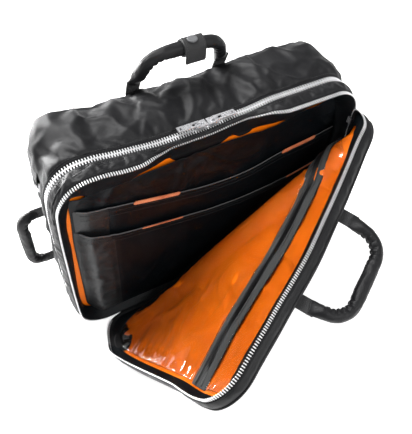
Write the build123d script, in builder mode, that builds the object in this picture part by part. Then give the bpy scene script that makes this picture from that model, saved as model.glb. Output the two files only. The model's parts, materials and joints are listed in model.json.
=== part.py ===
from build123d import *
from math import atan2, cos, degrees, radians, sin
import os

os.makedirs("parts", exist_ok=True)

# A soft two-compartment zip briefcase, standing on its base.
# X runs to its right, Y to its back and Z up. The origin is on the ground, under the body.

# Driving dimensions, in millimetres
bag_width = 420
bag_height = 302
corner_radius = 40
rear_depth = 90
band_depth = 32
tray_depth = 28
back_y = 61
main_zip_y = back_y - rear_depth
front_zip_y = main_zip_y - band_depth
panel_thickness = 4
wall_thickness = 3
base_height = 45

# Zips: two rails of teeth with a gap for the slider's post, each rail on its own tape
rail_gap = 1.2
rail_width = 3.6
tape_width = 2.2
rail_inset = 0.2
rail_thickness = 2.8
zip_open_half = 161
tape_end = rail_gap + rail_width + tape_width

# The front panel folds out about a slanting line from the zip's end to its slider
fold_start = Vector(-zip_open_half, front_zip_y, 0)
fold_end = Vector(bag_width / 2, front_zip_y, 264)
fold_open = 62
fold_gap = 1
floor_gap = 0.6

# Handles
grip_radius = 9
grip_bend = 30
strap_width = 22
strap_thickness = 3
strap_length = 20
handle_span = 126
handle_rise = 58
rear_handle_x = -2
rear_handle_z = bag_height + 2
rear_handle_lean = 20
front_handle_x = -8
front_handle_z = 297
front_handle_lean = 55
side_grip_radius = 7.5
side_handle_y = 35
side_handle_z = 124
side_handle_span = 100
side_handle_rise = 25
side_strap_length = 15
side_handle_x = -bag_width / 2 - 3.5
side_grip_bend = 18

# Shoulder-strap rings
ring_wire = 1.7
ring_half_width = 13
ring_leg = 5
ring_y = 22
ring_z = 252
ring_bore = 2.0
tab_thickness = 6
right_ring_lift = 100

# Sliders
main_slider_gap = 8.5
main_slider_x = -8
front_slider_z = 249
small_slider = 0.7

# Inside the front compartment, measured along Y
divider_y = main_zip_y - rail_gap - rail_width
lining_y = -36.2
organizer_y = -37.4
pocket_space = 5.0
cloth = 1.4
upper_pocket_y = organizer_y - cloth - pocket_space
lower_pocket_y = upper_pocket_y - cloth - pocket_space
facing_y = -57.2
pocket_side = 2.5
inner_inset = 3.3

fold_line = Axis(fold_start, fold_end - fold_start)


def turned(x, y, z):
    """The direction that the open flap gives to a direction of the closed front panel."""
    return Vector(x, y, z).rotate(fold_line, fold_open)


def opened(x, y, z):
    """The place that the open flap gives to a point of the closed front panel."""
    from_fold = Vector(x, y, z) - fold_start
    return fold_start + from_fold.rotate(fold_line, fold_open)


tray_plane = Plane(origin=(0, front_zip_y, 0), x_dir=(1, 0, 0), z_dir=(0, -1, 0))
flap_plane = Plane(
    origin=opened(0, front_zip_y, 0), x_dir=turned(1, 0, 0), z_dir=turned(0, -1, 0)
)

# Both halves of the front panel are mitred so that they meet face to face when it is open
fold_up = Vector(-fold_line.direction.Z, 0, fold_line.direction.X)
mitre_normal = fold_up * cos(radians(fold_open / 2)) + Vector(0, -1, 0) * sin(radians(fold_open / 2))
flap_mitre = Plane(origin=fold_start + mitre_normal * fold_gap, z_dir=mitre_normal)
tray_mitre = Plane(origin=fold_start - mitre_normal * fold_gap, z_dir=mitre_normal)
flap_floor = Plane.XY.offset(floor_gap)


def outline(inset, mode=Mode.ADD):
    """The bag's outline seen from the front, drawn inside itself by an inset."""
    with Locations((0, bag_height / 2)):
        RectangleRounded(
            bag_width - 2 * inset, bag_height - 2 * inset, corner_radius - inset, mode=mode
        )


def wall_ring(back, depth, inset=0, thickness=wall_thickness):
    """A ring that follows the outline, from a Y at its back, running forwards."""
    with BuildSketch(Plane.XZ.offset(-back)) as section:
        outline(inset)
        outline(inset + thickness, Mode.SUBTRACT)
    extrude(section.sketch, amount=depth)


def panel(back, thickness, inset):
    """A plate of the outline's shape, from a Y at its back, running forwards."""
    with BuildSketch(Plane.XZ.offset(-back)) as section:
        outline(inset)
    extrude(section.sketch, amount=thickness)


def open_bottom():
    """Cut the middle of a ring's bottom run, where a zip doesn't pass."""
    with BuildSketch(Plane.XY.offset(-1)) as section:
        Rectangle(2 * zip_open_half, 3 * bag_height)
    extrude(section.sketch, amount=corner_radius / 2, mode=Mode.SUBTRACT)


def base_tongue(front, back):
    """The fabric that carries the base on past the ends of a zip, between two Ys."""
    with BuildSketch(Plane.XY) as section:
        with Locations((0, (front + back) / 2)):
            Rectangle(2 * zip_open_half - 16, back - front)
    extrude(section.sketch, amount=wall_thickness)


def keep_flap():
    """Keep what belongs to the folded-out part of the front panel, clear of the ground."""
    split(bisect_by=flap_mitre, keep=Keep.TOP)
    split(bisect_by=flap_floor, keep=Keep.TOP)


def keep_tray():
    """Keep what belongs to the part of the front panel that stays zipped."""
    split(bisect_by=tray_mitre, keep=Keep.BOTTOM)


def layer(plane, start, thickness, inset):
    """A full plate of the front panel, by its distance outwards from the zip."""
    with BuildSketch(plane.offset(start)) as section:
        outline(inset)
    extrude(section.sketch, amount=thickness)


def rim(plane, start, depth, inset=0, thickness=wall_thickness, bottom_gap=0):
    """A ring of the front panel, by its distance outwards from the zip."""
    with BuildSketch(plane.offset(start)) as section:
        outline(inset)
        outline(inset + thickness, Mode.SUBTRACT)
        if bottom_gap:
            Rectangle(bottom_gap, corner_radius / 2, mode=Mode.SUBTRACT)
    extrude(section.sketch, amount=depth)


def save(builder, name):
    """Label a finished piece and write it."""
    builder.part.label = name
    export_step(builder.part, f"parts/{name}.step")


# Rear section: the large compartment

with BuildPart() as back_panel:
    panel(back_y, panel_thickness, 0)
save(back_panel, "back_panel")

foam_front = back_y - panel_thickness - 6
with BuildPart() as back_foam:
    panel(back_y - panel_thickness, 6, inner_inset)
save(back_foam, "back_foam")

with BuildPart() as rear_lining:
    panel(foam_front, 0.8, inner_inset)
save(rear_lining, "rear_lining")

gusset_back = back_y - panel_thickness
gusset_front = main_zip_y + tape_end
with BuildPart() as rear_gusset:
    wall_ring(gusset_back, gusset_back - gusset_front)
    split(bisect_by=Plane.XY.offset(base_height), keep=Keep.TOP)
save(rear_gusset, "rear_gusset")

with BuildPart() as rear_base:
    wall_ring(gusset_back, gusset_back - gusset_front)
    split(bisect_by=Plane.XY.offset(base_height), keep=Keep.BOTTOM)
    base_tongue(main_zip_y, gusset_front)
save(rear_base, "rear_base")

with BuildPart() as base_board:
    with BuildSketch(Plane.XY.offset(wall_thickness + 0.1)):
        with Locations((0, 14)):
            Rectangle(330, 66)
    extrude(amount=2)
save(base_board, "base_board")

# Main zip, round the top and sides between the two sections

with BuildPart() as main_zip_rear_tape:
    wall_ring(gusset_front, tape_width)
    open_bottom()
save(main_zip_rear_tape, "main_zip_rear_tape")

with BuildPart() as main_zip_rear_teeth:
    wall_ring(main_zip_y + rail_gap + rail_width, rail_width, rail_inset, rail_thickness)
    open_bottom()
save(main_zip_rear_teeth, "main_zip_rear_teeth")

with BuildPart() as main_zip_front_teeth:
    wall_ring(main_zip_y - rail_gap, rail_width, rail_inset, rail_thickness)
    open_bottom()
save(main_zip_front_teeth, "main_zip_front_teeth")

with BuildPart() as main_zip_front_tape:
    wall_ring(divider_y, tape_width)
    base_tongue(divider_y, main_zip_y - 0.5)
save(main_zip_front_tape, "main_zip_front_tape")

# Front section: the middle band and what it holds

with BuildPart() as middle_gusset:
    wall_ring(divider_y - tape_width, divider_y - tape_width - front_zip_y - tape_end)
save(middle_gusset, "middle_gusset")

with BuildPart() as divider_panel:
    panel(divider_y, divider_y - lining_y, inner_inset)
save(divider_panel, "divider_panel")

with BuildPart() as front_lining:
    panel(lining_y, 0.8, inner_inset)
save(front_lining, "front_lining")

organizer_sag = 12
with BuildPart() as organizer_panel:
    with BuildSketch(Plane.XZ.offset(-organizer_y)):
        outline(inner_inset + 8)
        with BuildLine():
            top = ThreePointArc((-200, 262), (20, 262 + organizer_sag), (205, 262))
            Polyline(top @ 1, (205, 5), (-200, 5), top @ 0)
        make_face(mode=Mode.INTERSECT)
    extrude(amount=cloth)
save(organizer_panel, "organizer_panel")


def pocket_shape(left, sag, right, inset, mode=Mode.ADD):
    """The face of a pocket, whose mouth hangs in an arc from the left end to the right end."""
    reach = bag_width / 2 - inset
    with BuildLine() as edge:
        mouth = ThreePointArc((-reach, left), sag, (reach, right))
        Polyline(mouth @ 1, (reach, inset), (-reach, inset), mouth @ 0)
    make_face(edge.edges(), mode=mode)


def pocket(front, left, sag, right):
    """A pocket sheet with its sides and bottom carried back to the sheet behind it."""
    with BuildSketch(Plane.XZ.offset(-front)) as sheet:
        outline(inner_inset + 8)
        pocket_shape(left, sag, right, inner_inset, Mode.INTERSECT)
    extrude(sheet.sketch, amount=cloth)
    with BuildSketch(Plane.XZ.offset(-front)) as seam:
        outline(inner_inset + 8)
        pocket_shape(left, sag, right, inner_inset, Mode.INTERSECT)
        outline(inner_inset + 8 + pocket_side, Mode.SUBTRACT)
    extrude(seam.sketch, amount=-pocket_space)


upper_mouth = (248, (-5, 203), 236)
lower_mouth = (202, (20, 149), 172)

with BuildPart() as upper_pocket:
    pocket(upper_pocket_y, *upper_mouth)
save(upper_pocket, "upper_pocket")

with BuildPart() as lower_pocket:
    pocket(lower_pocket_y, *lower_mouth)
save(lower_pocket, "lower_pocket")


def bindings(front, height, thickness, runs):
    """Straight binding strips along a pocket's mouth, each given by its two ends."""
    with BuildSketch(Plane.XZ.offset(-front + cloth)) as strips:
        for start, end in runs:
            strip = Vector(*end) - Vector(*start)
            middle = (Vector(*start) + Vector(*end)) / 2
            with Locations((middle.X, middle.Y)):
                Rectangle(strip.length, height, rotation=degrees(atan2(strip.Y, strip.X)))
    extrude(strips.sketch, amount=thickness)


upper_bindings_runs = [((-117, 220), (-52, 201)), ((108, 206), (164, 220))]
lower_bindings_runs = [((-110, 165), (-50, 151)), ((122, 152), (172, 160))]

with BuildPart() as upper_bindings:
    bindings(upper_pocket_y, 6, 2.5, upper_bindings_runs)
save(upper_bindings, "upper_bindings")

with BuildPart() as lower_bindings:
    bindings(lower_pocket_y, 3, 1.2, lower_bindings_runs)
save(lower_bindings, "lower_bindings")

with BuildPart() as rim_facing:
    with BuildSketch(Plane.XZ.offset(-facing_y)):
        outline(5.5)
        with Locations((0, bag_height / 2 - 5)):
            RectangleRounded(
                bag_width - 36, bag_height - 46, corner_radius - 12, mode=Mode.SUBTRACT
            )
    extrude(amount=cloth)
save(rim_facing, "rim_facing")

# Front zip: the half on the band, then the half on the front panel

with BuildPart() as front_zip_band_tape:
    wall_ring(front_zip_y + tape_end, tape_width)
    base_tongue(front_zip_y - rail_gap - rail_width, front_zip_y + rail_gap + rail_width)
save(front_zip_band_tape, "front_zip_band_tape")

with BuildPart() as front_zip_band_teeth:
    wall_ring(front_zip_y + rail_gap + rail_width, rail_width, rail_inset, rail_thickness)
    open_bottom()
save(front_zip_band_teeth, "front_zip_band_teeth")

with BuildPart() as front_zip_stop:
    with BuildSketch(Plane.XY.offset(rail_inset)):
        with Locations((-zip_open_half + 4, front_zip_y)):
            Rectangle(6, 7)
    extrude(amount=2.4)
save(front_zip_stop, "front_zip_stop")

# Front panel: one shallow tray, whose lower right part stays zipped and whose upper left
# part folds out. Distances run outwards from the zip.
gusset_start = tape_end
panel_start = tray_depth - panel_thickness
lining_start = panel_start - 1.0
facing_start = 8.0
vinyl_start = 17.0
vinyl_thickness = 0.8
zip_band_start = 15.0
zip_band_thickness = 1.2
zip_band_z = 228
zip_band_half = 15
coil_thickness = 2.0
coil_width = 3.5
panel_teeth_gap = 2 * zip_open_half + 20

tray_sides = {
    "lower_front": (tray_plane, keep_tray),
    "flap": (flap_plane, keep_flap),
}

for side, (plane, keep_side) in tray_sides.items():
    with BuildPart() as tray_panel:
        layer(plane, panel_start, panel_thickness, 0)
        keep_side()
    save(tray_panel, f"{side}_panel")

    with BuildPart() as tray_gusset:
        rim(plane, gusset_start, panel_start - gusset_start)
        keep_side()
    save(tray_gusset, f"{side}_gusset")

    with BuildPart() as tray_lining:
        layer(plane, lining_start, 0.8, inner_inset)
        keep_side()
    save(tray_lining, f"{side}_lining")

    with BuildPart() as tray_zip:
        rim(plane, rail_gap, rail_width, rail_inset, rail_thickness, panel_teeth_gap)
        keep_side()
    save(tray_zip, f"{side}_zip_teeth")

    with BuildPart() as tray_tape:
        rim(plane, rail_gap + rail_width, tape_width)
        keep_side()
    save(tray_tape, f"{side}_zip_tape")

with BuildPart() as flap_facing:
    rim(flap_plane, facing_start, cloth, inner_inset, 14)
    keep_flap()
save(flap_facing, "flap_facing")

with BuildPart() as vinyl_pocket:
    with BuildSketch(flap_plane.offset(vinyl_start)):
        outline(inner_inset + 4)
        with Locations((0, zip_band_z)):
            Rectangle(bag_width, 2 * zip_band_half, mode=Mode.SUBTRACT)
    extrude(amount=vinyl_thickness)
    keep_flap()
save(vinyl_pocket, "vinyl_pocket")

with BuildPart() as pocket_zip_band:
    with BuildSketch(flap_plane.offset(zip_band_start)):
        outline(inner_inset + 1)
        with Locations((0, zip_band_z)):
            Rectangle(bag_width, 2 * zip_band_half + 4, mode=Mode.INTERSECT)
    extrude(amount=zip_band_thickness)
    keep_flap()
save(pocket_zip_band, "pocket_zip_band")

with BuildPart() as pocket_zip_coil:
    with BuildSketch(flap_plane.offset(zip_band_start - coil_thickness)):
        outline(inner_inset + 16)
        with Locations((0, zip_band_z + coil_width), (0, zip_band_z - coil_width)):
            Rectangle(bag_width, coil_width, mode=Mode.INTERSECT)
    extrude(amount=coil_thickness)
    keep_flap()
save(pocket_zip_coil, "pocket_zip_coil")

# Handles: a padded tube on two flat straps, drawn in a plane whose Y runs away from the bag


def handle_straps(plane, span, length, width):
    """The two flat ends of a handle, from its swing line outwards."""
    with BuildSketch(plane.offset(-strap_thickness / 2)) as ends:
        with Locations((-span / 2, length / 2), (span / 2, length / 2)):
            Rectangle(width, length)
    extrude(ends.sketch, amount=strap_thickness)


def handle_grip(plane, span, start, rise, radius, bend, lean=6):
    """The padded tube of a handle, round its bend and back."""
    with BuildLine(plane) as route:
        FilletPolyline(
            (-span / 2, start),
            (-span / 2 + lean, start + rise),
            (span / 2 - lean, start + rise),
            (span / 2, start),
            radius=bend,
        )
    with BuildSketch(Plane(origin=route.line @ 0, z_dir=route.line % 0)) as section:
        Circle(radius)
    sweep(section.sketch, path=route.line)


rear_lean = radians(rear_handle_lean)
rear_handle_plane = Plane(
    origin=(rear_handle_x, back_y + strap_thickness / 2, rear_handle_z),
    x_dir=(1, 0, 0),
    z_dir=(0, -cos(rear_lean), -sin(rear_lean)),
)
with BuildPart() as rear_handle_straps:
    handle_straps(rear_handle_plane, handle_span, strap_length, strap_width)
save(rear_handle_straps, "rear_handle_straps")

grip_rise = handle_rise - strap_length + grip_radius / 2
with BuildPart() as rear_handle_grip:
    handle_grip(
        rear_handle_plane, handle_span, strap_length, grip_rise, grip_radius, grip_bend
    )
save(rear_handle_grip, "rear_handle_grip")

with BuildPart() as rear_handle_anchors:
    with BuildSketch(Plane.XZ.offset(-back_y)):
        with Locations(
            (rear_handle_x - handle_span / 2, bag_height - 22),
            (rear_handle_x + handle_span / 2, bag_height - 22),
        ):
            Rectangle(strap_width, 44)
    extrude(amount=-strap_thickness / 2)
save(rear_handle_anchors, "rear_handle_anchors")

lean_up = cos(radians(front_handle_lean))
lean_out = sin(radians(front_handle_lean))
front_handle_w = tray_depth + strap_thickness / 2 + 1.5
front_handle_plane = Plane(
    origin=opened(front_handle_x, front_zip_y - front_handle_w, front_handle_z),
    x_dir=turned(1, 0, 0),
    z_dir=turned(0, -lean_up, -lean_out),
)
with BuildPart() as front_handle_straps:
    handle_straps(front_handle_plane, handle_span, strap_length, strap_width)
save(front_handle_straps, "front_handle_straps")

with BuildPart() as front_handle_grip:
    handle_grip(
        front_handle_plane, handle_span, strap_length, grip_rise, grip_radius, grip_bend
    )
save(front_handle_grip, "front_handle_grip")

with BuildPart() as front_handle_anchors:
    with BuildSketch(flap_plane.offset(tray_depth)):
        with Locations(
            (front_handle_x - handle_span / 2, front_handle_z - 22),
            (front_handle_x + handle_span / 2, front_handle_z - 22),
        ):
            Rectangle(strap_width, 44)
    extrude(amount=strap_thickness / 2 - 0.3)
save(front_handle_anchors, "front_handle_anchors")

side_handle_plane = Plane(
    origin=(side_handle_x, side_handle_y, side_handle_z), x_dir=(0, 0, 1), z_dir=(0, -1, 0)
)
with BuildPart() as side_handle_straps:
    handle_straps(side_handle_plane, side_handle_span, side_strap_length, strap_width - 4)
save(side_handle_straps, "side_handle_straps")

side_grip_rise = side_handle_rise - side_strap_length + side_grip_radius
with BuildPart() as side_handle_grip:
    handle_grip(
        side_handle_plane,
        side_handle_span,
        side_strap_length,
        side_grip_rise,
        side_grip_radius,
        side_grip_bend,
        lean=3,
    )
save(side_handle_grip, "side_handle_grip")

with BuildPart() as side_handle_anchors:
    with BuildSketch(Plane.YZ.offset(-bag_width / 2)):
        with Locations(
            (side_handle_y, side_handle_z - side_handle_span / 2),
            (side_handle_y, side_handle_z + side_handle_span / 2),
        ):
            Rectangle(strap_width, strap_width + 4)
    extrude(amount=-strap_thickness / 2)
save(side_handle_anchors, "side_handle_anchors")

# Keeper: a strap round the rear grip, closed by a tab with a press stud
keeper_x = 6
keeper_width = 28
keeper_inner = grip_radius + 0.4
keeper_outer = keeper_inner + 1.8
tab_inner = keeper_outer + 0.3
tab_outer = tab_inner + 1.8
tab_tail = 16
tab_start = 2
snap_radius = 6.5
snap_height = 1.8
snap_sink = 1.0
grip_middle = rear_handle_plane.origin + rear_handle_plane.y_dir * (strap_length + grip_rise)
grip_y = grip_middle.Y
grip_z = grip_middle.Z
keeper_side = Plane(
    origin=(keeper_x + keeper_width / 2, grip_y, grip_z), x_dir=(0, -1, 0), z_dir=(-1, 0, 0)
)
with BuildPart() as keeper_strap:
    with BuildSketch(keeper_side):
        Circle(keeper_outer)
        Circle(keeper_inner, mode=Mode.SUBTRACT)
    extrude(amount=keeper_width)
save(keeper_strap, "keeper_strap")

with BuildPart() as keeper_tab:
    with BuildSketch(keeper_side):
        Circle(tab_outer)
        Circle(tab_inner, mode=Mode.SUBTRACT)
        with Locations((-tab_start, 0)):
            Rectangle(
                2 * tab_outer, 2 * tab_outer, align=(Align.MIN, Align.MIN), mode=Mode.INTERSECT
            )
        with Locations((tab_inner, 0)):
            Rectangle(tab_outer - tab_inner, tab_tail, align=(Align.MIN, Align.MAX))
    extrude(amount=keeper_width)
save(keeper_tab, "keeper_tab")

with BuildPart() as keeper_snap:
    with BuildSketch(Plane.XY.offset(grip_z + tab_outer - snap_sink)):
        with Locations((keeper_x - 2, grip_y - 5)):
            Circle(snap_radius)
    extrude(amount=snap_height)
    fillet(keeper_snap.edges().group_by(Axis.Z)[-1], 0.7)
save(keeper_snap, "keeper_snap")

# Rings for a shoulder strap, one on each side, each on a folded tab


def ring_tab(side):
    """The folded webbing that holds a ring's bar, on one side of the bag."""
    with BuildSketch(Plane.YZ.offset(side * bag_width / 2)) as face:
        with Locations((ring_y, ring_z + 4)):
            Rectangle(2 * ring_half_width - 6, 18)
    extrude(face.sketch, amount=side * tab_thickness)
    with BuildSketch(Plane.XZ.offset(-ring_y)) as bore:
        with Locations((side * (bag_width + tab_thickness) / 2, ring_z)):
            Circle(ring_bore)
    extrude(bore.sketch, amount=ring_half_width, both=True, mode=Mode.SUBTRACT)


def ring(side, lift):
    """A D-shaped ring, lifted outwards from hanging by an angle in degrees."""
    drop = Vector(side * sin(radians(lift)), 0, -cos(radians(lift)))
    flat = Plane(
        origin=(side * (bag_width + tab_thickness) / 2, ring_y, ring_z),
        x_dir=(0, 1, 0),
        z_dir=Vector(0, 1, 0).cross(drop),
    )
    with BuildLine(flat) as bow:
        leg = Line((-ring_half_width, 0), (-ring_half_width, ring_leg))
        arc = ThreePointArc(
            leg @ 1, (0, ring_leg + ring_half_width), (ring_half_width, ring_leg)
        )
        Line(arc @ 1, (ring_half_width, 0))
    with BuildSketch(Plane(origin=bow.line @ 0, z_dir=bow.line % 0)) as wire:
        Circle(ring_wire)
    sweep(wire.sketch, path=bow.line)
    with BuildSketch(Plane(origin=bow.line @ 0, z_dir=(0, 1, 0))) as bar:
        Circle(ring_wire)
    extrude(bar.sketch, amount=2 * ring_half_width)
    with Locations(bow.line @ 0, bow.line @ 1):
        Sphere(ring_wire)


for side, lift, name in ((-1, 8, "left"), (1, right_ring_lift, "right")):
    with BuildPart() as tab:
        ring_tab(side)
    save(tab, f"ring_tab_{name}")

    with BuildPart() as d_ring:
        ring(side, lift)
    save(d_ring, f"d_ring_{name}")

# Sliders and their pulls. Each is drawn on a plane that touches the outside of the teeth,
# whose X runs along the zip towards the pull's tip.
slider_length = 15
slider_width = 9
cover_width = 11
plate_lift = 0.3
plate = 1.4
post_width = 2.0
post_length = 3.0
bail_reach = 4.5
bail_leg = 1.2
bail_width = 2.6
bar_radius = 0.7
bar_x = 1.5
bar_lift = plate_lift + plate + 0.3 + bar_radius
pull_width = 9
pull_length = 30
pull_slot = 9
pull_slot_width = 4.4
pull_hole = (2.2, 4.0)


def slab(plane, low, high, x, width_x, width_y, mode=Mode.ADD):
    """A block between two distances from a plane, centred at a place along its X."""
    with BuildSketch(plane.offset(low)) as face:
        with Locations((x, 0)):
            Rectangle(width_x, width_y)
    extrude(face.sketch, amount=high - low, mode=mode)


def slider_body(plane, size, through=True):
    """A slider: cover plate and bail, and the post and lower plate where it runs on a slit."""
    slab(
        plane, plate_lift, plate_lift + plate * size, 0, slider_length * size, cover_width * size
    )
    bail_low = plate_lift + plate * size
    bail_gap = 2 * bar_radius * size + 0.6
    bail_high = bail_low + bail_gap + bail_leg * size
    for end in (-1, 1):
        leg_x = bar_x * size + end * (bail_reach - bail_leg / 2) * size
        slab(plane, bail_low, bail_high, leg_x, bail_leg * size, bail_width * size)
    slab(
        plane,
        bail_low + bail_gap,
        bail_high,
        bar_x * size,
        2 * bail_reach * size,
        bail_width * size,
    )
    if through:
        under = -rail_inset - rail_thickness - 0.4
        post_x = -(slider_length - post_length) / 2 * size
        slab(plane, under - plate, under, 0, slider_length * size, slider_width * size)
        slab(plane, under, plate_lift, post_x, post_length * size, post_width)


def slider_pull(plane, size):
    """A pull: a flat tab with a window, whose near edge is the bar held under the bail."""
    low = plate_lift + plate * size + 0.3
    thickness = 2 * bar_radius * size
    start = bar_x * size
    length = pull_length * size
    slab(plane, low, low + thickness, start + length / 2, length, pull_width * size)
    slot_end = (2 * bar_radius + pull_slot) * size
    slab(
        plane,
        low,
        low + thickness,
        start + (bar_radius * size + slot_end) / 2,
        slot_end - bar_radius * size,
        pull_slot_width * size,
        Mode.SUBTRACT,
    )
    slab(
        plane,
        low,
        low + thickness,
        start + length - 4 * size,
        pull_hole[0] * size,
        pull_hole[1] * size,
        Mode.SUBTRACT,
    )
    bar = Plane(
        origin=plane.origin + plane.x_dir * start + plane.z_dir * (low + thickness / 2),
        x_dir=plane.x_dir,
        z_dir=plane.y_dir,
    )
    with BuildSketch(bar) as end:
        Circle(thickness / 2)
    extrude(end.sketch, amount=pull_width * size / 2, both=True)


slider_planes = {
    "main_left": (
        Plane(
            origin=(main_slider_x - main_slider_gap, main_zip_y, bag_height),
            x_dir=(-1, 0, 0),
            z_dir=(0, 0, 1),
        ),
        1,
        True,
    ),
    "main_right": (
        Plane(
            origin=(main_slider_x + main_slider_gap, main_zip_y, bag_height),
            x_dir=(1, 0, 0),
            z_dir=(0, 0, 1),
        ),
        1,
        True,
    ),
    "front": (
        Plane(
            origin=(bag_width / 2, front_zip_y, front_slider_z), x_dir=(0, 0, -1), z_dir=(1, 0, 0)
        ),
        small_slider,
        True,
    ),
    "pocket": (
        Plane(
            origin=opened(100, front_zip_y - zip_band_start + coil_thickness, zip_band_z),
            x_dir=turned(1, 0, 0),
            z_dir=turned(0, 1, 0),
        ),
        small_slider,
        False,
    ),
}
for name, (plane, size, through) in slider_planes.items():
    with BuildPart() as slider:
        slider_body(plane, size, through)
    save(slider, f"{name}_slider")

    with BuildPart() as pull:
        slider_pull(plane, size)
    save(pull, f"{name}_pull")
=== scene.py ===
import json
import math

import bpy
import numpy as np
from mathutils import Matrix, Vector, noise


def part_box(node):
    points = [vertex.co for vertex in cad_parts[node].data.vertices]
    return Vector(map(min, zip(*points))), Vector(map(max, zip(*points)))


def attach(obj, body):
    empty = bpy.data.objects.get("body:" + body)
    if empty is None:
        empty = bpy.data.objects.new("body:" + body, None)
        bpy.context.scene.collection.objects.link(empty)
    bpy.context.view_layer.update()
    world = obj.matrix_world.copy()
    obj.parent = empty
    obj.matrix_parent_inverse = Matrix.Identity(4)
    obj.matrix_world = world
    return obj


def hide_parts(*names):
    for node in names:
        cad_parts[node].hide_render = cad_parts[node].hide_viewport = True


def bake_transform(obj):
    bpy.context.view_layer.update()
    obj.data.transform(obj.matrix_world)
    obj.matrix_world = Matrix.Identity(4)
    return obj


# The looks of a soft two-compartment zip briefcase. Lengths are in metres, in the frame of the
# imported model: X to the bag's right, Y to its back, Z up, the ground at Z 0.

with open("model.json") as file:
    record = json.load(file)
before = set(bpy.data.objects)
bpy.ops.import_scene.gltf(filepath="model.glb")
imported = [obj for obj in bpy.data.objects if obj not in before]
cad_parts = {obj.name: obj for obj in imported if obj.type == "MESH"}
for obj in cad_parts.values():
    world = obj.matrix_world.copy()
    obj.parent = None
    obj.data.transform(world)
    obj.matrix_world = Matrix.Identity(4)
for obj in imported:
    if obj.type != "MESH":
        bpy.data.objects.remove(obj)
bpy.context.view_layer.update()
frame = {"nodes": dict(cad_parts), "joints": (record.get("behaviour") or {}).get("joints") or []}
joints = {joint["name"]: joint for joint in frame["joints"]}
scene = bpy.context.scene
MM = 0.001

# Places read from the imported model
back_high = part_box("back_panel")[1]
HALF_WIDTH = back_high.x
HEIGHT = back_high.z
BACK_Y = back_high.y
TOOTH_GAP = 1.2 * MM
MAIN_ZIP_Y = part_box("main_zip_rear_teeth")[0].y - TOOTH_GAP
FRONT_ZIP_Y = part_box("front_zip_band_teeth")[0].y - TOOTH_GAP
ORGANIZER_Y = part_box("organizer_panel")[0].y
UPPER_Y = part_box("upper_pocket")[0].y
LOWER_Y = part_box("lower_pocket")[0].y
CORNER = 40 * MM
ZIP_END = 161 * MM
TRAY_DEPTH = 28 * MM
FLOOR = 1.2 * MM

# The line about which the front panel folds out, and how far it is folded at rest
fold = joints["flap_fold"]
FOLD_START = np.array(fold["pos_m"])
FOLD_ALONG = np.array(fold["axis"])
FOLD_UP = np.array([-FOLD_ALONG[2], 0.0, FOLD_ALONG[0]])
OUTWARD = np.array([0.0, -1.0, 0.0])
FOLD_ANGLE = math.radians(-min(fold["range_deg"]))
BEND_START = -10 * MM
BEND_LENGTH = 46 * MM


# ---------------------------------------------------------------- shape helpers


def smooth(t):
    """Smoothstep of t between 0 and 1."""
    t = np.clip(t, 0.0, 1.0)
    return t * t * (3 - 2 * t)


def bump(x, low, high, edge):
    """1 between low and high, falling smoothly to 0 over edge outside them."""
    return smooth((x - low + edge) / edge) * smooth((high + edge - x) / edge)


def through(x, knots):
    """A smooth curve through (x, value) knots, all in millimetres."""
    at, value = np.array(knots, float).T * MM
    slope = np.gradient(value, at)
    k = np.clip(np.searchsorted(at, x) - 1, 0, len(at) - 2)
    width = at[k + 1] - at[k]
    t = np.clip((x - at[k]) / width, 0.0, 1.0)
    start = (1 + 2 * t) * (1 - t) ** 2 * value[k] + t * (1 - t) ** 2 * width * slope[k]
    return start + t ** 2 * (3 - 2 * t) * value[k + 1] + t ** 2 * (t - 1) * width * slope[k + 1]


def fractal(points, size, seed, octaves=3):
    """Smooth noise between about -1 and 1 at each point, with features of a given size."""
    shift = Vector((seed * 7.31, seed * 3.17, seed * 5.71))
    return np.array(
        [noise.fractal(Vector(p) / size + shift, 1.0, 2.0, octaves) for p in points.tolist()]
    )


def creases(points, size, seed, turn=0.0, stretch=2.6):
    """Long sharp folds, 0 in the valleys and up to 1 on the crests, that run at an angle."""
    c, s = math.cos(turn), math.sin(turn)
    along = points[:, 0] * c + points[:, 1] * s
    across = -points[:, 0] * s + points[:, 1] * c
    warp = fractal(points, size * 1.7, seed + 11, 2) * size * 0.6
    field = np.stack([(along + warp) / stretch, across + warp, points[:, 2] * 0.5], 1)
    return (1.0 - np.abs(fractal(field, size, seed, 2))) ** 5


def outline_samples(count=6000):
    """Arc length, x, z, and normal angle round the bag's outline, from the bottom's middle leftwards."""
    flat_x, flat_z, quarter = HALF_WIDTH - CORNER, HEIGHT - 2 * CORNER, CORNER * math.pi / 2
    runs = [flat_x, quarter, flat_z, quarter, 2 * flat_x, quarter, flat_z, quarter, flat_x]
    ends = np.concatenate([[0.0], np.cumsum(runs)])
    turns = np.radians([-90, -90, -180, -180, -270, -270, -360, -360, -450, -450])
    s = np.linspace(0.0, ends[-1], count)
    angle = np.interp(s, ends, turns)
    middle = (angle[1:] + angle[:-1]) / 2
    step = np.diff(s)
    x = np.concatenate([[0.0], np.cumsum(np.sin(middle) * step)])
    z = np.concatenate([[0.0], np.cumsum(-np.cos(middle) * step)])
    return s, x, z, angle


RING_S, RING_X, RING_Z, RING_ANGLE = outline_samples()
PERIMETER = RING_S[-1]
ZIP_S0 = ZIP_END
ZIP_S1 = PERIMETER - ZIP_END


def ring(s):
    """Position (x, z) and outward normal (x, z) at arc lengths s on the outline."""
    s = np.mod(np.asarray(s, float), PERIMETER)
    angle = np.interp(s, RING_S, RING_ANGLE)
    return np.interp(s, RING_S, RING_X), np.interp(s, RING_S, RING_Z), np.cos(angle), np.sin(angle)


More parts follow.
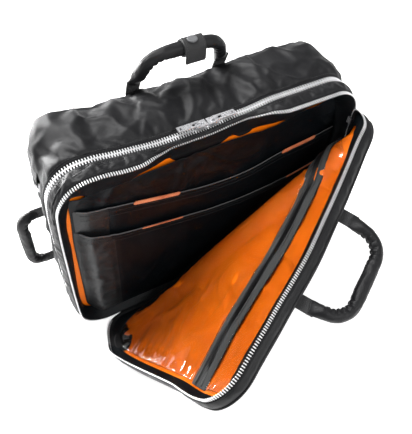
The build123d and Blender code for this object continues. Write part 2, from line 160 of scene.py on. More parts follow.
def soften(points):
    """Moves points of the firm box to where the soft bag has them: full sides, slack top rim."""
    x, y, z = points[:, 0].copy(), points[:, 1].copy(), points[:, 2].copy()
    height = 1 - np.abs((z - 150 * MM) / (158 * MM)) ** 4
    height = np.clip(height, 0.0, 1.0)
    front = smooth((14 * MM - y) / (40 * MM))
    left = smooth((-x - 120 * MM) / (90 * MM))
    right = smooth((x - 120 * MM) / (90 * MM)) * smooth((238 * MM - z) / (50 * MM))
    near_top = smooth((z - 225 * MM) / (60 * MM))
    slack = bump(x, -56 * MM, 42 * MM, 56 * MM) * near_top
    pulled = np.clip((-36 * MM - y) / (25 * MM), 0.0, 1.0)
    rear = smooth((y + 50 * MM) / (20 * MM))
    above_ring = smooth((z - 262 * MM) / (20 * MM))
    beside_zip = smooth((-2 * MM - y) / (20 * MM)) * smooth((z - 70 * MM) / (120 * MM))
    shoulder = smooth((x - 120 * MM) / (80 * MM)) * np.maximum(above_ring, beside_zip) * rear
    high_right = smooth((x - 120 * MM) / (80 * MM)) * smooth((z - 190 * MM) / (50 * MM)) * (1 - rear)
    x += (
        ((-8.0 - 3.0 * rear) * left + 3.5 * right) * MM * height * front
        + (9.0 * shoulder + 4.0 * high_right) * MM
    )
    y += 21.0 * MM * slack * pulled
    trough = np.sin(np.pi * np.clip((-32 * MM - y) / (20 * MM), 0.0, 1.0))
    corners = bump(x, 92 * MM, 170 * MM, 50 * MM) + bump(x, -190 * MM, -160 * MM, 40 * MM)
    zip_sag = bump(x, -70 * MM, -15 * MM, 60 * MM) * bump(y, -42 * MM, -24 * MM, 26 * MM)
    back_rise = smooth((y - 5 * MM) / (40 * MM))
    z += (-4.5 * slack * trough + (5.0 * corners - 5.0 * zip_sag + 3.5 * back_rise) * near_top) * MM
    return np.stack([x, y, z], 1)


COVER_TOP = [
    (-206, -6), (-168, -5), (-120, -1), (-90, 1), (-60, 4), (-30, 6), (30, 4), (70, 2), (110, -1),
    (160, -5), (206, -4)
]


def soften_cover(points):
    """The same for the closed front panel, whose free corner is fuller and whose top isn't slack."""
    x, y, z = points[:, 0].copy(), points[:, 1].copy(), points[:, 2].copy()
    height = np.clip(1 - np.abs((z - 165 * MM) / (168 * MM)) ** 4, 0.0, 1.0)
    left = smooth((-x - 120 * MM) / (90 * MM))
    right = smooth((x - 120 * MM) / (90 * MM)) * smooth((238 * MM - z) / (50 * MM))
    near_top = smooth((z - 225 * MM) / (60 * MM))
    x += (-(12.0 + 5.0 * smooth((z - 190 * MM) / (60 * MM))) * left + 3.5 * right) * MM * height
    z += through(x, COVER_TOP) * near_top
    return np.stack([x, y, z], 1)


def ring_points(s, y, inset, shape=soften):
    """Points of the softened bag at arc lengths s, depths y and insets from the outline."""
    x, z, nx, nz = ring(s)
    y = np.broadcast_to(y, x.shape)
    return shape(np.stack([x - nx * inset, y, z - nz * inset], 1))


def cover_points(s, depth, inset):
    """Folded-out places of the front panel's rim, by distance outwards from the zip and inset."""
    return fold_open(ring_points(s, FRONT_ZIP_Y - depth, inset, soften_cover))


def face_net(columns, rows, inset):
    """A net of quads over the bag's outline: x, z, and each point's distance from the edge."""
    half_x, half_z, radius = HALF_WIDTH - inset, HEIGHT / 2 - inset, CORNER - inset
    a, b = np.meshgrid(np.linspace(-1, 1, columns), np.linspace(-1, 1, rows), indexing="ij")
    x, z = np.abs(a) * half_x, np.abs(b) * half_z
    p = np.clip((x - half_x + radius) / radius, 0, None)
    q = np.clip((z - half_z + radius) / radius, 0, None)
    corner = (p > 0) & (q > 0)
    round_p, round_q = p * np.sqrt(1 - q * q / 2), q * np.sqrt(1 - p * p / 2)
    edge = np.minimum(half_x - x, half_z - z)
    edge = np.where(corner, radius * (1 - np.hypot(round_p, round_q)), edge)
    x = np.where(corner, half_x - radius + radius * round_p, x)
    z = np.where(corner, half_z - radius + radius * round_q, z)
    x, z = x * np.sign(a), z * np.sign(b) + HEIGHT / 2
    return x.ravel(), z.ravel(), np.maximum(edge.ravel(), 0.0)


def fold_open(points):
    """Carries points of the closed front panel to where the folded-out panel has them."""
    from_start = points - FOLD_START
    s = from_start @ FOLD_ALONG
    u = from_start @ FOLD_UP
    h = from_start @ OUTWARD
    half = FOLD_ANGLE / 2
    angle = np.zeros(len(points))
    for _ in range(60):
        across = u * np.cos(angle - half) - h * np.sin(angle - half)
        wanted = FOLD_ANGLE * smooth((across - BEND_START) / BEND_LENGTH)
        angle += 0.6 * (wanted - angle)
    up = u * np.cos(angle) - h * np.sin(angle)
    out = u * np.sin(angle) + h * np.cos(angle)
    opened = FOLD_START + np.outer(s, FOLD_ALONG) + np.outer(up, FOLD_UP) + np.outer(out, OUTWARD)
    soft_floor = 4 * MM
    lift = (opened[:, 2] - FLOOR) / soft_floor
    opened[:, 2] = np.where(
        lift < 6, FLOOR + soft_floor * np.log1p(np.exp(np.minimum(lift, 6.0))), opened[:, 2]
    )
    return opened


def bend_with_flap(piece):
    """The piece crosses the fold line; its transform is baked into its mesh, and it is put on neither
    section.
    """
    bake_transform(piece)


# ---------------------------------------------------------------- mesh helpers


def make_mesh(name, points, faces, material, uv=None, shade_smooth=True):
    """A mesh object from points, faces and an optional (u, v) in metres for each point."""
    mesh = bpy.data.meshes.new(name)
    mesh.from_pydata(np.asarray(points, float).tolist(), [], np.asarray(faces).tolist())
    if uv is not None:
        layer = mesh.uv_layers.new(name="cloth")
        corners = np.zeros(len(mesh.loops), np.int32)
        mesh.loops.foreach_get("vertex_index", corners)
        layer.data.foreach_set("uv", np.asarray(uv, np.float32)[corners].ravel())
    mesh.polygons.foreach_set("use_smooth", [shade_smooth] * len(mesh.polygons))
    mesh.materials.append(material)
    mesh.update()
    piece = bpy.data.objects.new(name, mesh)
    scene.collection.objects.link(piece)
    return piece


def grid_faces(rows, columns, closed=False, flip=False):
    """Quads of a grid of rows x columns points, its rows joined round if closed."""
    i, j = np.meshgrid(np.arange(rows if closed else rows - 1), np.arange(columns - 1), indexing="ij")
    following = (i + 1) % rows
    faces = np.stack(
        [i * columns + j, i * columns + j + 1, following * columns + j + 1, following * columns + j],
        -1,
    ).reshape(-1, 4)
    return faces[:, ::-1] if flip else faces


def make_sheet(name, points, rows, columns, material, closed=False, flip=False, uv=None):
    """A grid sheet, rows x columns, with a UV measured along its own edges if none is given."""
    points = np.asarray(points, float)
    if uv is None:
        net = points.reshape(rows, columns, 3)
        down = np.linalg.norm(np.diff(net, axis=0), axis=2).mean(1)
        over = np.linalg.norm(np.diff(net, axis=1), axis=2).mean(0)
        u = np.concatenate([[0.0], np.cumsum(down)])
        v = np.concatenate([[0.0], np.cumsum(over)])
        uv = np.stack(np.meshgrid(u, v, indexing="ij"), -1).reshape(-1, 2)
    return make_mesh(name, points, grid_faces(rows, columns, closed, flip), material, uv)


def thicken(piece, thickness, offset=-1.0):
    """Gives a sheet its thickness, on its inner side unless offset says otherwise."""
    solid = piece.modifiers.new("thickness", "SOLIDIFY")
    solid.thickness = thickness
    solid.offset = offset
    return piece


def refine(piece, levels=1):
    """Rounds a piece with a subdivision surface."""
    surface = piece.modifiers.new("rounding", "SUBSURF")
    surface.levels = surface.render_levels = levels
    return piece


def scatter(name, template, faces, origins, along, across, up, material, shade_smooth=False):
    """One mesh of many copies of a template, each with its own origin and axes."""
    points = (
        origins[:, None, :]
        + template[None, :, 0:1] * along[:, None, :]
        + template[None, :, 1:2] * across[:, None, :]
        + template[None, :, 2:3] * up[:, None, :]
    )
    count = len(template)
    all_faces = [[k * count + i for i in face] for k in range(len(origins)) for face in faces]
    mesh = bpy.data.meshes.new(name)
    mesh.from_pydata(points.reshape(-1, 3).tolist(), [], all_faces)
    mesh.polygons.foreach_set("use_smooth", [shade_smooth] * len(mesh.polygons))
    mesh.materials.append(material)
    piece = bpy.data.objects.new(name, mesh)
    scene.collection.objects.link(piece)
    return piece


def unit(vectors):
    """Vectors scaled to length 1."""
    return vectors / np.maximum(np.linalg.norm(vectors, axis=-1, keepdims=True), 1e-12)


def resample(path, pitch):
    """Evenly spaced points on a polyline, and the direction at each."""
    path = np.asarray(path, float)
    lengths = np.concatenate([[0.0], np.cumsum(np.linalg.norm(np.diff(path, axis=0), axis=1))])
    count = max(2, int(round(lengths[-1] / pitch)) + 1)
    at = np.linspace(0.0, lengths[-1], count)
    points = np.stack([np.interp(at, lengths, path[:, k]) for k in range(3)], 1)
    return points, unit(np.gradient(points, axis=0))


def ring_solid(rings):
    """Faces of a closed solid made of rings of four points each."""
    faces = [[3, 2, 1, 0]]
    for k in range(rings - 1):
        a, b = 4 * k, 4 * k + 4
        faces += [[a + i, a + (i + 1) % 4, b + (i + 1) % 4, b + i] for i in range(4)]
    last = 4 * (rings - 1)
    return faces + [[last, last + 1, last + 2, last + 3]]


def stitches(name, path, normal, body, material, pitch=3.6 * MM, radius=0.42 * MM, sink=0.1 * MM):
    """A row of raised stitches along a path, on the surface with that normal at each point."""
    path = np.asarray(path, float)
    points, along = resample(path, pitch)
    lengths = np.concatenate([[0.0], np.cumsum(np.linalg.norm(np.diff(path, axis=0), axis=1))])
    at = np.linspace(0.0, lengths[-1], len(points))
    normal = np.broadcast_to(np.asarray(normal, float), path.shape)
    up = unit(np.stack([np.interp(at, lengths, normal[:, k]) for k in range(3)], 1))
    across = unit(np.cross(up, along))
    half = 0.36 * pitch
    stations = [(-half, 0.25, -0.6), (-0.6 * half, 0.9, 0.5), (0.6 * half, 0.9, 0.5), (half, 0.25, -0.6)]
    template = np.array(
        [
            [x, side * radius * width, radius * lift + top * radius * width]
            for x, width, lift in stations
            for side, top in ((-1, 0), (0, 1), (1, 0), (0, -1))
        ]
    )
    piece = scatter(
        name, template, ring_solid(len(stations)), points - up * sink, along, across, up, material, True
    )
    if body:
        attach(piece, body)
    return piece


def tube(name, path, radius, material, sides=8, closed=False):
    """A round tube along a path, its ends closed."""
    path = np.asarray(path, float)
    count = len(path)
    along = np.gradient(path, axis=0)
    if closed:
        along = np.roll(path, -1, 0) - np.roll(path, 1, 0)
    along = unit(along)
    reference = np.array([0.0, 1.0, 0.0]) if abs(along[:, 1]).mean() < 0.6 else np.array([0.0, 0.0, 1.0])
    side = unit(np.cross(along, reference))
    up = np.cross(side, along)
    turn = np.linspace(0, 2 * math.pi, sides, endpoint=False)
    points = (
        path[:, None, :]
        + radius * np.cos(turn)[None, :, None] * side[:, None, :]
        + radius * np.sin(turn)[None, :, None] * up[:, None, :]
    ).reshape(-1, 3)
    i, j = np.meshgrid(np.arange(count if closed else count - 1), np.arange(sides), indexing="ij")
    k = (i + 1) % count
    m = (j + 1) % sides
    faces = np.stack([i * sides + j, i * sides + m, k * sides + m, k * sides + j], -1).reshape(-1, 4)
    faces = faces.tolist()
    if not closed:
        faces += [list(range(sides)), list(range((count - 1) * sides, count * sides))[::-1]]
    mesh = bpy.data.meshes.new(name)
    mesh.from_pydata(points.tolist(), [], faces)
    mesh.polygons.foreach_set("use_smooth", [True] * len(mesh.polygons))
    mesh.materials.append(material)
    mesh.update()
    piece = bpy.data.objects.new(name, mesh)
    scene.collection.objects.link(piece)
    return piece


def relax(piece, pins, expand, cap, frames=16, pressure=0.0):
    """Lets a pinned sheet that is cut a little too large buckle into folds, by cloth simulation."""
    rest = np.array([v.co for v in piece.data.vertices], float)
    group = piece.vertex_groups.new(name="pins")
    for index, weight in enumerate(pins):
        if weight > 0:
            group.add([index], float(weight), "REPLACE")
    cloth = piece.modifiers.new("drape", "CLOTH")
    cloth.settings.quality = 5
    cloth.settings.mass = 0.15
    cloth.settings.tension_stiffness = 12
    cloth.settings.compression_stiffness = 12
    cloth.settings.shear_stiffness = 4
    cloth.settings.bending_stiffness = 0.25
    cloth.settings.shrink_min = -expand
    cloth.settings.vertex_group_mass = "pins"
    cloth.settings.effector_weights.gravity = 0
    if pressure:
        cloth.settings.use_pressure = True
        cloth.settings.uniform_pressure_force = pressure
    cloth.collision_settings.use_collision = False
    for number in range(1, frames + 1):
        scene.frame_set(number)
    graph = bpy.context.evaluated_depsgraph_get()
    shaped = piece.evaluated_get(graph).data
    found = np.zeros(len(rest) * 3, np.float32)
    shaped.vertices.foreach_get("co", found)
    piece.modifiers.remove(cloth)
    piece.vertex_groups.remove(group)
    scene.frame_set(1)
    move = found.reshape(-1, 3).astype(float) - rest
    size = np.linalg.norm(move, axis=1)
    move *= (cap * np.tanh(size / cap) / np.maximum(size, 1e-9))[:, None]
    result = rest + move
    piece.data.vertices.foreach_set("co", result.astype(np.float32).ravel())
    piece.data.update()
    return result


def set_points(piece, points):
    """Writes new vertex places into a piece's mesh."""
    piece.data.vertices.foreach_set("co", np.asarray(points, np.float32).ravel())
    piece.data.update()


# ---------------------------------------------------------------- materials


def new_material(name, colour, roughness, metallic=0.0):
    """A material with one Principled shader, and its node tree."""
    material = bpy.data.materials.new(name)
    material.use_nodes = True
    shader = material.node_tree.nodes["Principled BSDF"]
    shader.inputs["Base Color"].default_value = (*colour, 1.0)
    shader.inputs["Roughness"].default_value = roughness
    shader.inputs["Metallic"].default_value = metallic
    return material, material.node_tree, shader


def link(tree, a, b):
    tree.links.new(a, b)


def math_node(tree, operation, first, second=None):
    """A maths node fed by sockets or numbers."""
    node = tree.nodes.new("ShaderNodeMath")
    node.operation = operation
    for socket, value in zip(node.inputs, (first, second)):
        if value is None:
            continue
        if isinstance(value, (int, float)):
            socket.default_value = value
        else:
            link(tree, value, socket)
    return node.outputs[0]


def noise_node(tree, place, scale, detail=3.0, rough=0.55):
    """Fractal noise over a set of coordinates."""
    node = tree.nodes.new("ShaderNodeTexNoise")
    node.inputs["Scale"].default_value = scale
    node.inputs["Detail"].default_value = detail
    node.inputs["Roughness"].default_value = rough
    link(tree, place, node.inputs["Vector"])
    return node.outputs["Fac"]


def range_node(tree, value, low, high, from_low=0.3, from_high=0.7):
    """A value carried from one range to another."""
    node = tree.nodes.new("ShaderNodeMapRange")
    node.inputs["From Min"].default_value = from_low
    node.inputs["From Max"].default_value = from_high
    node.inputs["To Min"].default_value = low
    node.inputs["To Max"].default_value = high
    link(tree, value, node.inputs["Value"])
    return node.outputs["Result"]


def bump_node(tree, height, distance, strength=1.0, under=None):
    """Bump from a height, on top of another bump if one is given."""
    node = tree.nodes.new("ShaderNodeBump")
    node.inputs["Strength"].default_value = strength
    node.inputs["Distance"].default_value = distance
    link(tree, height, node.inputs["Height"])
    if under is not None:
        link(tree, under, node.inputs["Normal"])
    return node.outputs["Normal"]


def fabric(
    name, colour, lighter, roughness, pitch, weave_depth, crinkle, sheen=0.0, ribs=False, specular=0.5
):
    """Woven cloth: a weave at its thread pitch, fine crinkles, uneven gloss, and colour of random tone that
    is painted lighter on the weave's crests and darker in its hollows.
    """
    material, tree, shader = new_material(name, colour, roughness)
    places = tree.nodes.new("ShaderNodeTexCoord")
    split = tree.nodes.new("ShaderNodeSeparateXYZ")
    link(tree, places.outputs["UV"], split.inputs[0])
    wave_number = 2 * math.pi / pitch
    warp = math_node(tree, "SINE", math_node(tree, "MULTIPLY", split.outputs[0], wave_number))
    if ribs:
        weave = math_node(tree, "ABSOLUTE", warp)
    else:
        weft = math_node(tree, "SINE", math_node(tree, "MULTIPLY", split.outputs[1], wave_number))
        weave = math_node(tree, "MULTIPLY", warp, weft)
    fine = noise_node(tree, places.outputs["Object"], 160.0, 4.0)
    broad = noise_node(tree, places.outputs["Object"], 28.0, 3.0)
    crinkled = bump_node(tree, math_node(tree, "ADD", fine, broad), crinkle, 0.55)
    woven = bump_node(tree, weave, weave_depth, 0.6, crinkled)
    link(tree, woven, shader.inputs["Normal"])
    mix = tree.nodes.new("ShaderNodeMix")
    mix.data_type = "RGBA"
    mix.inputs["A"].default_value = (*colour, 1.0)
    mix.inputs["B"].default_value = (*lighter, 1.0)
    # Painted light and shade of the weave: lighter where it stands up, darker in its hollows, times a random
    # broad tone.
    weave_shade_and_tone = math_node(
        tree, "MULTIPLY", range_node(tree, weave, 0.35, 1.0, -1.0, 1.0), range_node(tree, broad, 0.2, 1.0)
    )
    link(tree, weave_shade_and_tone, mix.inputs["Factor"])
    link(tree, mix.outputs["Result"], shader.inputs["Base Color"])
    link(tree, range_node(tree, broad, roughness - 0.06, roughness + 0.08), shader.inputs["Roughness"])
    shader.inputs["Sheen Weight"].default_value = sheen
    shader.inputs["Sheen Roughness"].default_value = 0.45
    shader.inputs["Specular IOR Level"].default_value = specular
    return material


def metal(name, colour, roughness, scratch, metallic=1.0):
    """Cast or stamped metal with fine wear."""
    material, tree, shader = new_material(name, colour, roughness, metallic)
    places = tree.nodes.new("ShaderNodeTexCoord")
    wear = noise_node(tree, places.outputs["Object"], 420.0, 5.0, 0.65)
    stains = noise_node(tree, places.outputs["Object"], 60.0, 3.0)
    link(tree, range_node(tree, wear, roughness - 0.07, roughness + 0.12), shader.inputs["Roughness"])
    link(tree, bump_node(tree, wear, scratch, 0.5), shader.inputs["Normal"])
    mix = tree.nodes.new("ShaderNodeMix")
    mix.data_type = "RGBA"
    mix.inputs["A"].default_value = (*[c * 0.78 for c in colour], 1.0)
    mix.inputs["B"].default_value = (*colour, 1.0)
    link(tree, range_node(tree, stains, 0.0, 1.0), mix.inputs["Factor"])
    link(tree, mix.outputs["Result"], shader.inputs["Base Color"])
    return material


def vinyl_film(name):
    """Clear soft film: almost all light goes through, with sharp reflections on its ripples."""
    material, tree, shader = new_material(name, (1.0, 0.97, 0.94), 0.06)
    shader.inputs["Transmission Weight"].default_value = 1.0
    shader.inputs["IOR"].default_value = 1.42
    places = tree.nodes.new("ShaderNodeTexCoord")
    ripple = noise_node(tree, places.outputs["Object"], 34.0, 2.0, 0.4)
    haze = noise_node(tree, places.outputs["Object"], 300.0, 3.0)
    link(tree, bump_node(tree, ripple, 1.2 * MM, 0.35), shader.inputs["Normal"])
    link(tree, range_node(tree, haze, 0.03, 0.10), shader.inputs["Roughness"])
    return material


def plain_grain(name, colour, darker, roughness, scale, depth):
    """Foam, board or moulded plastic with a grain."""
    material, tree, shader = new_material(name, colour, roughness)
    places = tree.nodes.new("ShaderNodeTexCoord")
    grain = noise_node(tree, places.outputs["Object"], scale, 5.0)
    link(tree, bump_node(tree, grain, depth, 0.7), shader.inputs["Normal"])
    mix = tree.nodes.new("ShaderNodeMix")
    mix.data_type = "RGBA"
    mix.inputs["A"].default_value = (*darker, 1.0)
    mix.inputs["B"].default_value = (*colour, 1.0)
    link(tree, range_node(tree, grain, 0.0, 1.0), mix.inputs["Factor"])
    link(tree, mix.outputs["Result"], shader.inputs["Base Color"])
    return material


NYLON = fabric(
    "black_nylon", (0.005, 0.005, 0.006), (0.012, 0.012, 0.013), 0.44, 0.9 * MM, 0.05 * MM, 0.26 * MM,
    0.02, specular=0.24,
)
# Painted shade: the black nylon of the inside, made darker and bluer than the outside nylon to cancel the
# orange light bouncing from the lining.
SHADED_INNER_NYLON = fabric(
    "inner_nylon_painted_shade", (0.002, 0.003, 0.004), (0.005, 0.007, 0.009), 0.40, 0.7 * MM, 0.04 * MM, 0.30 * MM,
    specular=0.17,
)
THIN_NYLON = fabric(
    "thin_nylon", (0.006, 0.007, 0.008), (0.014, 0.015, 0.016), 0.38, 0.7 * MM, 0.04 * MM, 0.35 * MM,
    0.02, specular=0.4,
)
WEBBING = fabric(
    "black_webbing", (0.008, 0.008, 0.009), (0.020, 0.020, 0.021), 0.62, 1.6 * MM, 0.22 * MM, 0.12 * MM,
    0.1, ribs=True,
)
ZIP_TAPE = fabric(
    "zip_tape", (0.004, 0.004, 0.005), (0.010, 0.010, 0.011), 0.7, 1.1 * MM, 0.15 * MM, 0.1 * MM, 0.03,
    specular=0.2,
)
BAND_TAPE = fabric(
    "band_tape", (0.026, 0.028, 0.028), (0.048, 0.05, 0.05), 0.72, 1.2 * MM, 0.15 * MM, 0.12 * MM, 0.2
)
THREAD = fabric(
    "thread", (0.014, 0.014, 0.015), (0.035, 0.035, 0.038), 0.5, 0.5 * MM, 0.05 * MM, 0.05 * MM, 0.2
)
ORANGE = fabric(
    "orange_lining", (0.93, 0.165, 0.0), (1.0, 0.225, 0.002), 0.46, 0.8 * MM, 0.05 * MM, 0.35 * MM,
    specular=0.25,
)
# The binding's ribs are painted: light on each cord and dark between cords, as their light and shade.
BINDING = fabric(
    "orange_binding", (0.50, 0.085, 0.02), (1.0, 0.34, 0.15), 0.7, 5.2 * MM, 0.5 * MM, 0.1 * MM, 0.1,
    ribs=True,
)
# Painted highlight: a grey for the pocket mouths' lips, lighter than their black cloth, for the light along
# the rolled edge.
LIP_HIGHLIGHT = fabric("lip_painted_highlight", (0.05, 0.05, 0.052), (0.11, 0.11, 0.115), 0.5, 0.8 * MM, 0.05 * MM, 0.1 * MM, 0.2)
COIL = plain_grain("black_coil", (0.008, 0.008, 0.009), (0.003, 0.003, 0.003), 0.4, 900.0, 0.1 * MM)
BOARD = plain_grain("board", (0.05, 0.05, 0.052), (0.03, 0.03, 0.03), 0.6, 240.0, 0.15 * MM)
TEETH = metal("zip_metal", (0.95, 0.95, 0.96), 0.30, 0.04 * MM, 0.35)
SILVER = metal("silver_metal", (0.66, 0.66, 0.68), 0.24, 0.03 * MM, 0.6)
GUNMETAL = metal("gunmetal", (0.36, 0.36, 0.37), 0.30, 0.03 * MM)
SNAP_GREY = plain_grain("snap_paint", (0.14, 0.145, 0.15), (0.09, 0.09, 0.095), 0.42, 500.0, 0.03 * MM)
VINYL = vinyl_film("clear_vinyl")


# ---------------------------------------------------------------- zips

PITCH = 3.4 * MM


def tooth_template(reach, tail=4.9 * MM, thick=1.0):
    """A zip tooth: clamped round the tape at its tail, with a head that reaches past the middle."""
    stations = [(tail, 0.5, 0.6), (tail - 0.8 * MM, 0.62, 0.9), (0.4 * MM, 0.60, 0.95), (-reach, 0.5, 0.7)]
    return np.array(
        [
            [side * half * MM * thick, across, top * height * MM * thick]
            for across, half, height in stations
            for side, top in ((-1, -1), (-1, 1), (1, 1), (1, -1))
        ]
    )


def teeth_row(name, s_start, s_end, y, side, shift, cover=False, reach=0.9 * MM, thick=1.0, pitch=PITCH):
    """Teeth along the outline. Side is +1 for the row behind the zip's middle, -1 for the one in front."""
    count = int((s_end - s_start) / pitch)
    s = s_start + (np.arange(count) + shift) * pitch
    step = 0.5 * MM
    depth = 1.6 * MM
    if cover:
        place = cover_points(s, 0.0, depth)
        ahead = cover_points(s + step, 0.0, depth)
        beside = cover_points(s, 4 * MM, depth)
    else:
        place = ring_points(s, y, depth)
        ahead = ring_points(s + step, y, depth)
        beside = ring_points(s, y + side * 4 * MM, depth)
    along = unit(ahead - place)
    across = unit(beside - place)
    up = unit(np.cross(along, across)) * side
    template = tooth_template(reach, thick=thick)
    return scatter(name, template, ring_solid(4), place, along, across, -up, TEETH)


def tape_strip(name, y, side, cover=False):
    """The woven tape under a row of teeth, right round the bag, with a rolled edge beside them."""
    count = 390
    s = np.arange(count) * PERIMETER / count
    profile = [(1.0, 2.0), (3.4, 2.0), (4.9, 1.7), (5.8, 0.6), (7.0, -0.3), (8.4, 0.2)]
    if cover:
        rows = [cover_points(s, across * MM, inset * MM) for across, inset in profile]
    else:
        rows = [ring_points(s, y + side * across * MM, inset * MM) for across, inset in profile]
    points = np.stack(rows, 1).reshape(-1, 3)
    points[:, 2] = np.maximum(points[:, 2], FLOOR)
    piece = make_sheet(name, points, count, len(profile), ZIP_TAPE, closed=True, flip=side > 0)
    thicken(piece, 0.7 * MM)
    return refine(piece)


def make_main_zip():
    for side, body, name, nodes in (
        (1, "rear_section", "main_rear", ("main_zip_rear_teeth", "main_zip_rear_tape")),
        (-1, "front_section", "main_front", ("main_zip_front_teeth", "main_zip_front_tape")),
    ):
        teeth = teeth_row(name + "_teeth", ZIP_S0, ZIP_S1, MAIN_ZIP_Y, side, 0.25 if side > 0 else 0.75)
        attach(teeth, body)
        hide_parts(nodes[0])
        tape = tape_strip(name + "_tape", MAIN_ZIP_Y, side)
        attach(tape, body)
        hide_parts(nodes[1])


def make_front_zip():
    teeth = teeth_row(
        "front_band_teeth", ZIP_S0, ZIP_S1, FRONT_ZIP_Y, 1, 0.25, reach=0.5 * MM, thick=0.95,
        pitch=3.0 * MM,
    )
    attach(teeth, "front_section")
    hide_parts("front_zip_band_teeth")
    tape = tape_strip("front_band_tape", FRONT_ZIP_Y, 1)
    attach(tape, "front_section")
    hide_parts("front_zip_band_tape")
    panel_teeth = teeth_row(
        "cover_teeth", ZIP_S0 + 12 * MM, ZIP_S1, FRONT_ZIP_Y, -1, 0.75, cover=True,
        reach=0.5 * MM, thick=0.95, pitch=3.0 * MM,
    )
    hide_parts("lower_front_zip_teeth", "flap_zip_teeth")
    bend_with_flap(panel_teeth)
    panel_tape = tape_strip("cover_tape", FRONT_ZIP_Y, -1, cover=True)
    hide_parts("lower_front_zip_tape", "flap_zip_tape")
    bend_with_flap(panel_tape)


# ---------------------------------------------------------------- camera, light and floor


def make_camera():
    """A view from the front left and above, as close as a hand's reach to the bag."""
    position = Vector((-0.2775, -0.4565, 0.7535))
    right = Vector((0.871, -0.488, 0.0561)).normalized()
    back = Vector((-0.3416, -0.5198, 0.783)).normalized()
    up = back.cross(right).normalized()
    right = up.cross(back)
    data = bpy.data.cameras.new("camera")
    data.sensor_width = 36.0
    data.lens = 45.46
    data.clip_start = 0.01
    camera = bpy.data.objects.new("camera", data)
    turn = Matrix((right, up, back)).transposed().to_4x4()
    camera.matrix_world = Matrix.Translation(position) @ turn
    scene.collection.objects.link(camera)
    scene.camera = camera


def make_light(name, place, target, size, power):
    """A square soft box that faces a point."""
    data = bpy.data.lights.new(name, "AREA")
    data.shape = "SQUARE"
    data.size = size
    data.energy = power
    light = bpy.data.objects.new(name, data)
    light.location = place
    light.rotation_euler = (Vector(target) - Vector(place)).to_track_quat("-Z", "Y").to_euler()
    scene.collection.objects.link(light)


def make_studio():
    """Pale floor, soft boxes and an even white surrounding."""
    size = 6.0
    floor = make_mesh(
        "floor",
        [(-size, -size, 0), (size, -size, 0), (size, size, 0), (-size, size, 0)],
        [(0, 1, 2, 3)],
        plain_grain("floor_white", (0.93, 0.93, 0.93), (0.90, 0.90, 0.90), 0.9, 3.0, 0.1 * MM),
    )
    shader = floor.data.materials[0].node_tree.nodes["Principled BSDF"]
    shader.inputs["Emission Color"].default_value = (1.0, 1.0, 1.0, 1.0)
    shader.inputs["Emission Strength"].default_value = 0.6
    world = bpy.data.worlds.new("surrounding")
    world.use_nodes = True
    background = world.node_tree.nodes["Background"]
    background.inputs["Color"].default_value = (1.0, 1.0, 1.0, 1.0)
    background.inputs["Strength"].default_value = 0.42
    scene.world = world
    middle = (0.0, -0.05, 0.15)
    make_light("key", (-0.5, 0.7, 2.1), middle, 0.8, 52)
    make_light("side_strip", (-0.95, 1.6, 0.25), middle, 0.4, 40)
    make_light("back_box", (-0.55, 1.75, 0.75), middle, 0.45, 42)
    make_light("front_fill", (0.5, -1.8, 1.6), middle, 1.4, 26)
    scene.view_settings.view_transform = "Standard"
    scene.view_settings.look = "None"


# ---------------------------------------------------------------- rear section


